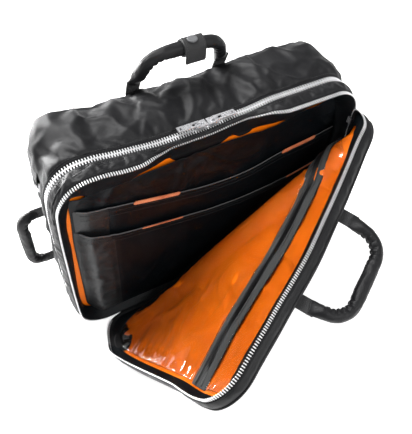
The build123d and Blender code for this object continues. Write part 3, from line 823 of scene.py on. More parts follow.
def make_rear_shell():
    """The padded fabric round the large compartment, wrinkled between its two seams."""
    front_y = MAIN_ZIP_Y + 7.6 * MM
    edge = 9 * MM
    straight = [(front_y + 0.0 * MM, 1.4 * MM), (front_y + 0.6 * MM, -0.4 * MM)]
    span = BACK_Y - edge - front_y
    for k in range(1, 19):
        t = k / 18
        straight.append(
            (
                front_y + 0.6 * MM + span * t,
                -(3.4 * MM) * math.sin(math.pi * t) ** 0.6 - 0.6 * MM * (1 - t),
            )
        )
    for k in range(1, 6):
        turn = math.pi / 2 * k / 5
        straight.append((BACK_Y - edge + edge * math.sin(turn), edge * (1 - math.cos(turn))))
    rows = 340
    s = np.arange(rows) * PERIMETER / rows
    _, _, nx, nz = ring(s)
    down = smooth((-nz - 0.2) / 0.6)
    firm = (1 - down) * (1 - 0.75 * smooth((np.abs(nx) - 0.6) / 0.3))
    columns = [ring_points(s, y, inset * np.where(inset < 0, firm, 1 - down)) for y, inset in straight]
    points = np.stack(columns, 1).reshape(-1, 3)
    width = len(straight)
    index = np.tile(np.arange(width), rows)
    nx_all, nz_all = np.repeat(nx, width), np.repeat(nz, width)
    s_all = np.repeat(s, width)
    y_all = points[:, 1]
    free = smooth(index / 3.0) * smooth((width - 1 - index) / 5.0) * (1 - np.repeat(down, width))
    flat = np.stack([s_all, y_all, np.zeros_like(s_all)], 1)
    folds = creases(flat, 42 * MM, 3, 0.9) + creases(flat, 34 * MM, 8, -0.7) - 0.5
    swell = fractal(flat, 60 * MM, 5)
    pucker = fractal(np.stack([s_all, y_all * 0.25, s_all * 0], 1), 9 * MM, 21, 2)
    near_zip = np.exp(-(y_all - front_y) / (11 * MM))
    height = (2.6 * folds + 2.4 * swell + 1.7 * pucker * near_zip) * MM * free
    normal = np.stack([nx_all, np.zeros_like(nx_all), nz_all], 1)
    points = points + normal * height[:, None]
    points[:, 2] = np.maximum(points[:, 2], FLOOR)
    piece = make_sheet("rear_shell", points, rows, width, NYLON, closed=True, flip=True)
    pins = np.where((index < 2) | (index > width - 3), 1.0, 0.0)
    pins = np.maximum(pins, np.where(points[:, 2] < 6 * MM, 1.0, 0.0))
    for place in (
        (-HALF_WIDTH, 0.022, 0.254),
        (HALF_WIDTH, 0.022, 0.254),
        (-HALF_WIDTH, 0.035, 0.074),
        (-HALF_WIDTH, 0.035, 0.174),
    ):
        near = np.linalg.norm(points - np.array(place), axis=1)
        pins = np.maximum(pins, smooth((30 * MM - near) / (16 * MM)))
    shaped = relax(piece, pins, 0.055, 7 * MM, 18, pressure=0.4)
    shaped[:, 2] = np.maximum(shaped[:, 2], FLOOR)
    set_points(piece, shaped)
    thicken(piece, 1.6 * MM)
    refine(piece)
    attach(piece, "rear_section")
    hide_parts("rear_gusset", "rear_base")
    return piece

def dress(piece, body, slot, *nodes):
    """Puts a finished piece on its body and hides the CAD nodes it stands for; the slot is not used."""
    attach(piece, body)
    if nodes:
        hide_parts(*nodes)
    return piece


def make_back_cover():
    """The padded back, crowned between its seams, with piping round it."""
    columns, rows = 84, 62
    x, z, edge = face_net(columns, rows, 8.5 * MM)
    crown = 2.2 * MM * smooth(edge / (70 * MM)) * (1 - smooth((z - 235 * MM) / (30 * MM)))
    flat = np.stack([x, z, np.zeros_like(x)], 1)
    ripple = (1.6 * creases(flat, 60 * MM, 31, 0.5) + 1.2 * fractal(flat, 80 * MM, 33)) * MM
    points = np.stack([x, BACK_Y - 0.4 * MM + crown + ripple * smooth(edge / (40 * MM)), z], 1)
    piece = make_sheet("back_cover", points, columns, rows, NYLON)
    thicken(piece, 7 * MM)
    refine(piece)
    dress(piece, "rear_section", "black_nylon", "back_panel", "back_foam")
    s = np.linspace(0, PERIMETER, 360, endpoint=False)
    piping = tube("back_piping", ring_points(s, BACK_Y + 0.1 * MM, 9 * MM), 1.5 * MM, NYLON, closed=True)
    dress(piping, "rear_section", "black_nylon")


def make_rear_inside():
    """Orange lining of the large compartment: its back wall and its sides."""
    columns, rows = 64, 48
    x, z, edge = face_net(columns, rows, 5 * MM)
    flat = np.stack([x, z, np.zeros_like(x)], 1)
    ripple = (2.2 * creases(flat, 46 * MM, 41, 0.8) + 1.5 * fractal(flat, 60 * MM, 43)) * MM
    y = BACK_Y - 10.8 * MM - ripple * smooth(edge / (25 * MM))
    wall = make_sheet("rear_lining_cloth", np.stack([x, y, z], 1), columns, rows, ORANGE, flip=True)
    thicken(wall, 0.6 * MM)
    refine(wall)
    dress(wall, "rear_section", "orange_lining", "rear_lining")
    count, steps = 300, 12
    s = np.arange(count) * PERIMETER / count
    ys = np.linspace(BACK_Y - 11 * MM, MAIN_ZIP_Y + 9 * MM, steps)
    rows_points = [ring_points(s, y, 4.6 * MM) for y in ys]
    points = np.stack(rows_points, 1).reshape(-1, 3)
    _, _, nx, nz = ring(np.repeat(s, steps))
    flat = np.stack([np.repeat(s, steps), points[:, 1], np.zeros(len(points))], 1)
    inner = 1.8 * MM * creases(flat, 34 * MM, 47, 1.1)
    points -= np.stack([nx, 0 * nx, nz], 1) * inner[:, None]
    points[:, 2] = np.maximum(points[:, 2], 6 * MM)
    side = make_sheet("rear_side_lining", points, count, steps, ORANGE, closed=True)
    thicken(side, 0.6 * MM)
    dress(side, "rear_section", "orange_lining")


def make_band():
    """The fabric band between the two zips, slack and puckered along its seams."""
    rows = 400
    start_y, end_y = MAIN_ZIP_Y - 7.4 * MM, FRONT_ZIP_Y + 7.2 * MM
    profile = []
    for k in range(11):
        t = k / 10
        profile.append((start_y + (end_y - start_y) * t, (0.9 - 2.4 * math.sin(math.pi * t) ** 0.7) * MM))
    s = np.arange(rows) * PERIMETER / rows
    _, _, nx, nz = ring(s)
    down = smooth((-nz - 0.2) / 0.6)
    width = len(profile)
    points = np.stack([ring_points(s, y, inset * (1 - down)) for y, inset in profile], 1).reshape(-1, 3)
    s_all, index = np.repeat(s, width), np.tile(np.arange(width), rows)
    depth = np.tile([y for y, _ in profile], rows)
    free = np.sin(math.pi * index / (width - 1)) ** 0.8 * (1 - np.repeat(down, width))
    flat = np.stack([s_all, depth, np.zeros_like(s_all)], 1)
    pucker = creases(np.stack([s_all, depth * 0.5, 0 * s_all], 1), 13 * MM, 61, 1.3, 1.6) - 0.3
    swell = fractal(flat, 30 * MM, 65)
    normal = np.stack([np.repeat(nx, width), 0 * s_all, np.repeat(nz, width)], 1)
    points += normal * ((2.0 * pucker + 1.2 * swell) * MM * free)[:, None]
    points[:, 2] = np.maximum(points[:, 2], FLOOR)
    piece = make_sheet("band", points, rows, width, NYLON, closed=True, flip=True)
    pins = np.where((index == 0) | (index == width - 1) | (points[:, 2] < 4 * MM), 1.0, 0.0)
    shaped = relax(piece, pins, 0.05, 2.6 * MM, 12)
    shaped[:, 2] = np.maximum(shaped[:, 2], FLOOR)
    set_points(piece, shaped)
    thicken(piece, 1.0 * MM)
    refine(piece)
    dress(piece, "front_section", "black_nylon", "middle_gusset")
    top = np.linspace(0.33, 1.045, 500)
    _, _, nx, nz = ring(top)
    normal = np.stack([nx, 0 * nx, nz], 1)
    for number, offset in enumerate((9.6, 12.2)):
        stitches(
            f"band_stitches_{number}", ring_points(top, MAIN_ZIP_Y - offset * MM, -1.5 * MM), normal,
            "front_section", THREAD,
        )
    tuck_s = np.linspace(0.440, 0.640, 60)
    t = np.linspace(0, 1, 60)
    tuck_y = FRONT_ZIP_Y + (8.5 + 7.5 * np.sin(math.pi * t) ** 0.8) * MM
    tuck = tube("band_tuck", ring_points(tuck_s, tuck_y, -0.9 * MM), 1.3 * MM, NYLON)
    dress(tuck, "front_section", "black_nylon")


def make_rear_stitches():
    """Twin stitching beside the main zip on the large compartment."""
    s = np.linspace(0.20, 1.17, 700)
    _, _, nx, nz = ring(s)
    normal = np.stack([nx, 0 * nx, nz], 1)
    stitches(
        "rear_stitches", ring_points(s, MAIN_ZIP_Y + 9.4 * MM, -0.9 * MM), normal, "rear_section", THREAD
    )


SIDE_FACING = [(0, 14), (44, 11.4), (100, 12.9), (170, 16), (243, 19), (262, 24), (302, 26)]


def make_band_facing():
    """Black facing inside the open rim, wide and slack along the top."""
    rows = 360
    s = np.arange(rows) * PERIMETER / rows
    x, z, _, nz = ring(s)
    top = smooth((nz - 0.35) / 0.5)
    side = through(z, SIDE_FACING)
    reach = side + (HEIGHT + 5 * MM - organizer_edge(x) - side) * top
    recess = ORGANIZER_Y - 1.2 * MM - FRONT_ZIP_Y
    profile = [
        (0.08, 0.0, 3.2), (0.14, 0.02, 3.4), (0.26, 0.2, 2.8), (0.45, 0.45, 2.0), (0.7, 0.72, 1.0),
        (0.9, 0.9, 0.4), (1.0, 1.0, 0.0),
    ]
    columns = []
    for back, share, base in profile:
        columns.append(ring_points(s, FRONT_ZIP_Y + back * recess, base * MM + share * reach))
    points = np.stack(columns, 1).reshape(-1, 3)
    width = len(profile)
    flat = np.stack(
        [np.repeat(s, width), np.tile([p[1] * 16 * MM for p in profile], rows), np.zeros(rows * width)], 1
    )
    points[:, 1] += (
        (1.2 * creases(flat, 22 * MM, 71, 1.2) - 0.6) * MM * np.tile([p[1] for p in profile], rows)
    )
    points[:, 1] = np.minimum(points[:, 1], ORGANIZER_Y - 1.0 * MM)
    # Along the middle of the top, the strip ends higher, so that the orange lining shows below it.
    shown = organizer_edge(points[:, 0]) + 9 * MM
    strip = bump(points[:, 0], -98 * MM, 90 * MM, 24 * MM) * np.repeat(top, width)
    points[:, 2] += np.maximum(shown - points[:, 2], 0.0) * strip
    piece = make_sheet("band_facing", points, rows, width, SHADED_INNER_NYLON, closed=True, flip=False)
    thicken(piece, 1.2 * MM)
    refine(piece)
    dress(piece, "front_section", "black_nylon", "rim_facing")


def organizer_edge(x):
    """The organizer's top edge, just under the facing."""
    return through(
        x,
        [
            (-206, 262), (-119, 264), (-76, 267), (-22, 269), (37, 268), (67, 267), (114, 270),
            (150, 281), (206, 284),
        ],
    )


def upper_edge(x):
    return through(
        x,
        [
            (-200, 243), (-152, 232), (-119, 225), (-53, 211), (0, 203), (60, 203), (105, 214),
            (163, 222), (206, 231),
        ],
    )


def lower_edge(x):
    return through(
        x,
        [
            (-200, 204), (-175, 195), (-142, 183), (-113, 177), (-53, 167), (-8, 160), (69, 158),
            (111, 162), (206, 184),
        ],
    )


def inner_net(columns, rows, edge, left=-199 * MM, right=204 * MM, bottom=7 * MM):
    """A net over the inside of the band from its floor up to a slack edge."""
    a, b = np.meshgrid(np.linspace(0, 1, columns), np.linspace(0, 1, rows), indexing="ij")
    x = left + (right - left) * a
    z = bottom + (edge(x) - bottom) * b
    rounding = 30 * MM
    x += 3 * MM * smooth((z - 170 * MM) / (70 * MM)) * (1 - a)
    low_part = np.clip((rounding - (z - bottom)) / rounding, 0, 1)
    pull = rounding * (1 - np.sqrt(1 - low_part ** 2))
    x = np.where(a < 0.5, np.maximum(x, left + pull), np.minimum(x, right - pull))
    return x.ravel(), z.ravel(), a.ravel(), b.ravel()


def make_front_inside():
    """Orange lining, black organizer and two slack pockets inside the band."""
    columns, rows = 70, 52
    x, z, _ = face_net(columns, rows, 3.6 * MM)
    flat = np.stack([x, z, 0 * x], 1)
    ripple = 0.5 * MM * creases(flat, 30 * MM, 81, 0.4)
    lining = make_sheet(
        "front_lining_cloth", soften(np.stack([x, ORGANIZER_Y + 1.2 * MM - ripple, z], 1)),
        columns, rows, ORANGE, flip=True
    )
    thicken(lining, 0.5 * MM)
    refine(lining)
    dress(lining, "front_section", "orange_lining", "front_lining")
    back = make_sheet(
        "divider_cloth", soften(
            np.stack([x, ORGANIZER_Y + 3.4 * MM + 0.4 * MM * fractal(flat, 50 * MM, 83), z], 1)
        ),
        columns, rows, NYLON,
    )
    thicken(back, 1.2 * MM)
    refine(back)
    dress(back, "front_section", "black_nylon", "divider_panel")

    columns, rows = 104, 68
    x, z, a, b = inner_net(columns, rows, organizer_edge)
    flat = np.stack([x, z, 0 * x], 1)
    inside = smooth(a / 0.05) * smooth((1 - a) / 0.05) * smooth(b / 0.1)
    upper_part = smooth((z - upper_edge(x) + 14 * MM) / (20 * MM))
    folds = (
        3.4 * creases(flat, 46 * MM, 91, 1.0) + 2.6 * creases(flat, 36 * MM, 93, -0.6)
        + 1.6 * fractal(flat, 50 * MM, 95)
    )
    y = ORGANIZER_Y - 0.6 * MM - np.maximum(folds, -0.4) * MM * inside * (0.25 + 0.75 * upper_part)
    organizer = make_sheet("organizer", np.stack([x, y, z], 1), columns, rows, SHADED_INNER_NYLON, flip=True)
    pins = np.where((a < 0.02) | (a > 0.98) | (b < 0.05) | (z < upper_edge(x) - 20 * MM), 1.0, 0.0)
    pins = np.maximum(pins, 0.7 * (b > 0.985))
    shaped = relax(organizer, pins, 0.06, 6 * MM, 16)
    shaped[:, 1] = np.minimum(shaped[:, 1], ORGANIZER_Y)
    set_points(organizer, shaped)
    thicken(organizer, 0.9 * MM)
    refine(organizer)
    dress(organizer, "front_section", "black_nylon", "organizer_panel")

    make_pocket("upper_pocket_cloth", "upper_pocket", upper_edge, UPPER_Y, 101, 0.35)
    make_pocket("lower_pocket_cloth", "lower_pocket", lower_edge, LOWER_Y, 113, 1.0)


def make_pocket(name, node, edge, front_y, seed, wrinkled):
    """A pocket sheet with a stitched hem at its slack mouth, wrinkled beside its seam."""
    columns, rows = 104, 60
    x, z, a, b = inner_net(columns, rows, edge)
    flat = np.stack([x, z, 0 * x], 1)
    inside = smooth(a / 0.04) * smooth((1 - a) / 0.04) * smooth(b / 0.12)
    column = smooth((-148 * MM - x) / (10 * MM))
    folds = 2.4 * creases(flat, 26 * MM, seed, 0.35, 2.0) + 1.5 * fractal(flat, 34 * MM, seed + 2)
    calm = 1.0 * creases(flat, 60 * MM, seed + 4, 1.2) + 1.2 * fractal(flat, 90 * MM, seed + 6)
    seam = np.exp(-(((x + 150 * MM) / (3 * MM)) ** 2))
    out = (
        (folds * column * wrinkled + calm * (1 - column)) * (1 - 0.6 * smooth((b - 0.93) / 0.05))
        - 1.2 * seam
    )
    belly = 2.0 * np.sin(math.pi * np.clip(b, 0, 1)) * np.sin(math.pi * a)
    y = front_y + 0.7 * MM - (out * 0.9 + belly) * MM * inside
    near_side = np.maximum(smooth((0.055 - a) / 0.055), smooth((a - 0.98) / 0.02))
    side_back = near_side * (ORGANIZER_Y - front_y - 0.8 * MM)
    side_back = np.maximum(side_back, smooth((0.02 - b) / 0.02) * 5 * MM)
    sheet = make_sheet(name, np.stack([x, y + side_back, z], 1), columns, rows, SHADED_INNER_NYLON, flip=True)
    sheet.data.materials.append(THIN_NYLON)
    for face in sheet.data.polygons:
        face.material_index = int(face.center.x < -150 * MM)
    shaped = np.stack([x, y + side_back, z], 1)
    if wrinkled > 0.5:
        pins = np.where((a < 0.03) | (x > -140 * MM) | (b < 0.05) | (b > 0.96), 1.0, 0.0)
        shaped = relax(sheet, pins, 0.06, 4 * MM, 14)
        set_points(sheet, shaped)
    thicken(sheet, 0.9 * MM)
    refine(sheet)
    dress(sheet, "front_section", "black_nylon", node)
    net = shaped.reshape(columns, rows, 3)
    mouth = net[2:-2, -1]
    # The lip's grey is a painted highlight along the mouth's rolled edge.
    lip = tube(name + "_lip", mouth + np.array([0, -0.3 * MM, -0.4 * MM]), 0.8 * MM, LIP_HIGHLIGHT, 6)
    dress(lip, "front_section", "black_nylon")
    for number, drop in enumerate((2, 4)):
        line = net[3:-3, -1 - drop] + np.array([0, -0.5 * MM, 0])
        stitches(
            f"{name}_hem_{number}", line, (0.0, -1.0, 0.0), "front_section", THREAD, 3.2 * MM, 0.34 * MM
        )
    return net


def ribbed_strip(name, path, half_height, thickness, body, node):
    """A ribbed binding folded over an edge: a soft core with slanting cords across it."""
    core = []
    points, along = resample(path, 1.9 * MM)
    up = np.array([0.0, 0.0, 1.0])
    front = np.array([0.0, -1.0, 0.0])
    ring_angles = np.linspace(0, 2 * math.pi, 10, endpoint=False)
    count = len(points)
    swell = np.ones(count)
    swell[0] = swell[-1] = 0.35
    for k in range(count):
        for angle in ring_angles:
            rib = 1 + 0.16 * math.cos(k * math.pi)
            slant = along[k] * math.sin(angle) * 0.9 * MM
            core.append(
                points[k]
                + slant
                + up * half_height * math.sin(angle) * swell[k] * rib
                + front * thickness * math.cos(angle) * swell[k] * rib
            )
    sides = len(ring_angles)
    faces = []
    for k in range(count - 1):
        for m in range(sides):
            n = (m + 1) % sides
            faces.append((k * sides + m, k * sides + n, (k + 1) * sides + n, (k + 1) * sides + m))
    faces.append(tuple(range(sides))[::-1])
    faces.append(tuple(range((count - 1) * sides, count * sides)))
    mesh = bpy.data.meshes.new(name)
    mesh.from_pydata([tuple(p) for p in core], [], faces)
    # This UV runs along the slanting cords, so the binding's colour paints each cord light and the gaps
    # between them dark.
    layer = mesh.uv_layers.new(name="cloth")
    for loop in mesh.loops:
        row, column = divmod(loop.vertex_index, sides)
        layer.data[loop.index].uv = (row * 1.9 * MM + 1.1 * MM * math.sin(ring_angles[column]), 0.0)
    mesh.polygons.foreach_set("use_smooth", [True] * len(mesh.polygons))
    mesh.materials.append(BINDING)
    piece = bpy.data.objects.new(name, mesh)
    scene.collection.objects.link(piece)
    refine(piece)
    dress(piece, body, "orange_binding", *([node] if node else []))
    return piece


def make_bindings():
    for number, (start, end) in enumerate(((-117, -51), (109, 165))):
        x = np.linspace(start * MM, end * MM, 24)
        path = np.stack([x, np.full(24, UPPER_Y - 0.8 * MM), upper_edge(x)], 1)
        ribbed_strip(f"upper_binding_{number}", path, 3.1 * MM, 1.9 * MM, "front_section", "upper_bindings")
    for number, (start, end) in enumerate(((-110, -49), (122, 174))):
        x = np.linspace(start * MM, end * MM, 24)
        path = np.stack([x, np.full(24, LOWER_Y - 0.8 * MM), lower_edge(x)], 1)
        ribbed_strip(f"lower_binding_{number}", path, 1.0 * MM, 1.2 * MM, "front_section", "lower_bindings")


# ---------------------------------------------------------------- front panel, folded out


def make_cover():
    """The outer face of the front panel and its gusset, which bend about the slanting fold."""
    columns, rows = 100, 74
    x, z, edge = face_net(columns, rows, 1.0 * MM)
    flat = np.stack([x, z, 0 * x], 1)
    rounding = 5.5 * MM * (1 - np.clip(edge / (9 * MM), 0, 1)) ** 2
    ripple = (1.8 * creases(flat, 60 * MM, 131, 0.7) + 1.6 * fractal(flat, 70 * MM, 133)) * MM
    depth = TRAY_DEPTH - 0.6 * MM - rounding + (ripple + 1.2 * MM) * smooth(edge / (40 * MM))
    points = fold_open(soften_cover(np.stack([x, FRONT_ZIP_Y - depth, z], 1)))
    face = make_sheet("cover_face", points, columns, rows, NYLON, flip=True)
    thicken(face, 2.0 * MM)
    refine(face)
    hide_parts("lower_front_panel", "flap_panel")
    bend_with_flap(face)

    rows = 400
    s = np.arange(rows) * PERIMETER / rows
    steps = 9
    profile = []
    for k in range(steps):
        t = k / (steps - 1)
        profile.append((7.4 * MM + 14.8 * MM * t, (0.8 - 1.9 * math.sin(math.pi * t) ** 0.8) * MM))
    flat = np.stack([np.repeat(s, steps), np.tile([d for d, _ in profile], rows), np.zeros(rows * steps)], 1)
    pucker = (creases(flat, 20 * MM, 141, 1.25, 1.6) - 0.4) * np.tile(
        [math.sin(math.pi * k / (steps - 1)) for k in range(steps)], rows
    )
    columns = []
    for k, (depth, inset) in enumerate(profile):
        columns.append(cover_points(s, depth, inset - 1.3 * MM * pucker.reshape(rows, steps)[:, k]))
    points = np.stack(columns, 1).reshape(-1, 3)
    gusset = make_sheet("cover_gusset", points, rows, steps, NYLON, closed=True)
    thicken(gusset, 1.2 * MM)
    refine(gusset)
    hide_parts("lower_front_gusset", "flap_gusset")
    bend_with_flap(gusset)
    s = np.linspace(0, PERIMETER, 400, endpoint=False)
    piping = tube("cover_piping", cover_points(s, 22.6 * MM, 0.4 * MM), 1.5 * MM, NYLON, closed=True)
    bend_with_flap(piping)


def make_cover_lining():
    """Orange satin lining inside the front panel, loose between its edges."""
    columns, rows = 104, 76
    x, z, edge = face_net(columns, rows, 4.2 * MM)
    flat = np.stack([x, z, 0 * x], 1)
    folds = (
        3.0 * creases(flat, 52 * MM, 151, 0.5) + 2.2 * creases(flat, 40 * MM, 153, -0.9)
        + 1.8 * fractal(flat, 60 * MM, 155)
    )
    depth = (
        (13.5 + 8.0 * smooth(edge / (16 * MM))) * MM
        - np.clip(folds, 0, 5) * MM * smooth(edge / (18 * MM))
    )
    points = fold_open(soften_cover(np.stack([x, FRONT_ZIP_Y - depth, z], 1)))
    piece = make_sheet("cover_lining", points, columns, rows, ORANGE)
    pins = np.where(edge < 6 * MM, 1.0, 0.0)
    shaped = relax(piece, pins, 0.05, 4 * MM, 14)
    # The folds stay between the outer face and the clear pocket.
    inward = fold_open(soften_cover(np.stack([x, FRONT_ZIP_Y - depth + MM, z], 1))) - points
    inward /= np.linalg.norm(inward, axis=1)[:, None]
    rise = np.sum((shaped - points) * inward, axis=1)
    room = smooth((edge - 4 * MM) / (14 * MM))
    deepest = -np.maximum(21.8 * MM - depth, 0.0) * room
    highest = np.maximum(depth - 17.4 * MM, 0.0) * room
    set_points(piece, shaped + inward * (np.clip(rise, deepest, highest) - rise)[:, None])
    thicken(piece, 0.5 * MM)
    refine(piece)
    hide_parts("lower_front_lining", "flap_lining")
    bend_with_flap(piece)


def make_cover_facing():
    """The black strip inside the front panel's rim."""
    rows = 380
    s = np.arange(rows) * PERIMETER / rows
    profile = [(6.0, 2.6), (8.0, 3.6), (9.6, 6.5), (11.6, 10.5), (13.6, 14.5), (15.0, 17.0), (16.4, 17.4)]
    _, _, nx, nz = ring(s)
    wide = 1.0 - 0.35 * smooth((-nx - 0.3) / 0.5) + 0.5 * smooth((nz - 0.5) / 0.4)
    columns = [
        cover_points(s, depth * MM, (3.0 + (inset - 3.0) * wide) * MM) for depth, inset in profile
    ]
    points = np.stack(columns, 1).reshape(-1, 3)
    piece = make_sheet("cover_facing", points, rows, len(profile), SHADED_INNER_NYLON, closed=True, flip=True)
    thicken(piece, 1.0 * MM)
    refine(piece)
    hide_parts("flap_facing")
    bend_with_flap(piece)


BAND_MIDDLE = [
    (-206, 227), (-165, 226), (-140, 225), (-85, 229), (-45, 233), (-10, 236), (70, 237), (110, 236),
    (140, 233), (180, 226),
    (206, 220),
]


def band_middle(x):
    """Height of the inner zip's middle along the closed panel, which snakes a little."""
    return through(x, BAND_MIDDLE)


def make_pocket_zip():
    """The inner zip of the clear pocket: soft tape whose two lips nearly hide the coil."""
    profile = [
        (-15.0, 17.6), (-13.6, 16.4), (-9.0, 15.4), (-6.6, 14.6), (-5.2, 14.7), (-4.4, 16.2),
        (-3.4, 15.8), (-1.2, 15.4), (0.0, 16.0), (1.2, 15.4), (3.4, 15.8), (4.4, 16.2),
        (5.2, 14.7), (6.6, 14.6), (9.0, 15.4), (13.6, 16.4), (15.0, 17.6),
    ]
    count = 110
    x = np.linspace(-196 * MM, 197 * MM, count)
    columns = []
    for across, depth in profile:
        z = band_middle(x) + across * MM
        wave = 0.9 * MM * np.sin(x / (17 * MM) + across * 0.2)
        points = np.stack([x, FRONT_ZIP_Y - depth * MM - wave * (1 - abs(across) / 30), z], 1)
        columns.append(fold_open(soften_cover(points)))
    points = np.stack(columns, 1).reshape(-1, 3)
    piece = make_sheet("pocket_zip_tape", points, count, len(profile), BAND_TAPE, flip=False)
    thicken(piece, 0.7 * MM)
    refine(piece)
    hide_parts("pocket_zip_band")
    bend_with_flap(piece)
    pitch = 1.3 * MM
    x = np.arange(-178 * MM, 186 * MM, pitch)
    z = band_middle(x)
    place = fold_open(soften_cover(np.stack([x, np.full_like(x, FRONT_ZIP_Y - 14.9 * MM), z], 1)))
    ahead = fold_open(soften_cover(np.stack([x + 0.5 * MM, np.full_like(x, FRONT_ZIP_Y - 14.9 * MM), z], 1)))
    beside = fold_open(soften_cover(np.stack([x, np.full_like(x, FRONT_ZIP_Y - 14.9 * MM), z + 2 * MM], 1)))
    along, across = unit(ahead - place), unit(beside - place)
    up = unit(np.cross(along, across))
    template = np.array(
        [
            [side * 0.42 * MM, reach * MM, top * 0.5 * MM]
            for reach in (-3.0, -1.0, 1.0, 3.0)
            for side, top in ((-1, -1), (-1, 1), (1, 1), (1, -1))
        ]
    )
    coil = scatter("pocket_zip_coils", template, ring_solid(4), place, along, across, up, COIL)
    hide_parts("pocket_zip_coil")
    bend_with_flap(coil)
    # Painted shade: black tubes laid in the grooves outside the tape's two lips, darkening them as shade
    # would.
    for side, word in ((-1, "low"), (1, "high")):
        x = np.linspace(-194 * MM, 195 * MM, 200)
        line = np.stack([x, np.full_like(x, FRONT_ZIP_Y - 15.1 * MM), band_middle(x) + side * 5.9 * MM], 1)
        groove = tube(f"pocket_zip_groove_shade_{word}", fold_open(soften_cover(line)), 1.1 * MM, COIL, 6)
        bend_with_flap(groove)


def make_vinyl():
    """Two clear sheets over the lining, above and below the inner zip, rippled at their edges."""
    columns, rows = 90, 44
    a, b = np.meshgrid(np.linspace(0, 1, columns), np.linspace(0, 1, rows), indexing="ij")
    x = -194 * MM + 306 * MM * a
    top = band_middle(x) - 13.5 * MM
    fold_z = (x - FOLD_START[0]) * FOLD_ALONG[2] / FOLD_ALONG[0] + 10 * MM
    low = np.maximum(fold_z, 17 * MM)
    low = low + 14 * MM * (1 - np.clip((x + 194 * MM) / (16 * MM), 0, 1)) ** 2
    z = low + (top - low) * b
    near_left = np.exp(-(x + 194 * MM) / (34 * MM))
    pleats = near_left * (np.abs(np.sin(z / (6.2 * MM) + 1.2 * np.sin(z / (17 * MM)))) - 0.4)
    flat = np.stack([x.ravel(), z.ravel(), 0 * x.ravel()], 1)
    ripple = (2.4 * fractal(flat, 48 * MM, 161, 2) + 1.6 * creases(flat, 60 * MM, 163, 0.5)).reshape(x.shape)
    depth = (16.4 - ripple - 2.2 * pleats) * MM
    lower = fold_open(soften_cover(np.stack([x.ravel(), FRONT_ZIP_Y - depth.ravel(), z.ravel()], 1)))
    piece = make_sheet("vinyl_lower", lower, columns, rows, VINYL)
    thicken(piece, 0.4 * MM)
    refine(piece)
    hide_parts("vinyl_pocket")
    bend_with_flap(piece)

    columns, rows = 110, 18
    a, b = np.meshgrid(np.linspace(0, 1, columns), np.linspace(0, 1, rows), indexing="ij")
    x = -194 * MM + 366 * MM * a
    low = band_middle(x) + 13.5 * MM
    high = 286 * MM - 16 * MM * (1 - np.clip((x + 194 * MM) / (20 * MM), 0, 1)) ** 2
    high = np.minimum(high, 286 * MM - 30 * MM * smooth((x - 120 * MM) / (60 * MM)))
    z = low + (high - low) * b
    flat = np.stack([x.ravel(), z.ravel(), 0 * x.ravel()], 1)
    curl = 2.6 * np.abs(np.sin(x / (12 * MM) + 2.0 * b)) * np.exp(-(x + 194 * MM) / (60 * MM))
    ripple = (3.0 * fractal(flat, 34 * MM, 171, 2)).reshape(x.shape) + curl
    depth = (16.0 - ripple * np.sin(math.pi * b) - 1.5 * np.sin(math.pi * b)) * MM
    upper = fold_open(soften_cover(np.stack([x.ravel(), FRONT_ZIP_Y - depth.ravel(), z.ravel()], 1)))
    piece = make_sheet("vinyl_upper", upper, columns, rows, VINYL)
    thicken(piece, 0.4 * MM)
    refine(piece)
    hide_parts("vinyl_pocket")
    bend_with_flap(piece)


# ---------------------------------------------------------------- handles and small pieces


def rounded_path(corners, radius, step=2.2 * MM):
    """Points along a 2-D polyline whose inner corners are rounded."""
    corners = [np.array(c, float) for c in corners]
    points = [corners[0]]
    for before, corner, after in zip(corners, corners[1:], corners[2:]):
        a, b = unit(before - corner), unit(after - corner)
        half = math.acos(float(np.clip(a @ b, -1, 1))) / 2
        reach = radius / math.tan(half)
        centre = corner + unit(a + b) * radius / math.sin(half)
        start, end = corner + a * reach - centre, corner + b * reach - centre
        turn = math.pi - 2 * half
        sign = 1.0 if start[0] * end[1] - start[1] * end[0] > 0 else -1.0
        for k in range(9):
            angle = sign * turn * k / 8
            c, s = math.cos(angle), math.sin(angle)
            points.append(centre + np.array([start[0] * c - start[1] * s, start[0] * s + start[1] * c]))
    points.append(corners[-1])
    path = np.array([[p[0], p[1], 0.0] for p in points])
    return resample(path, step)


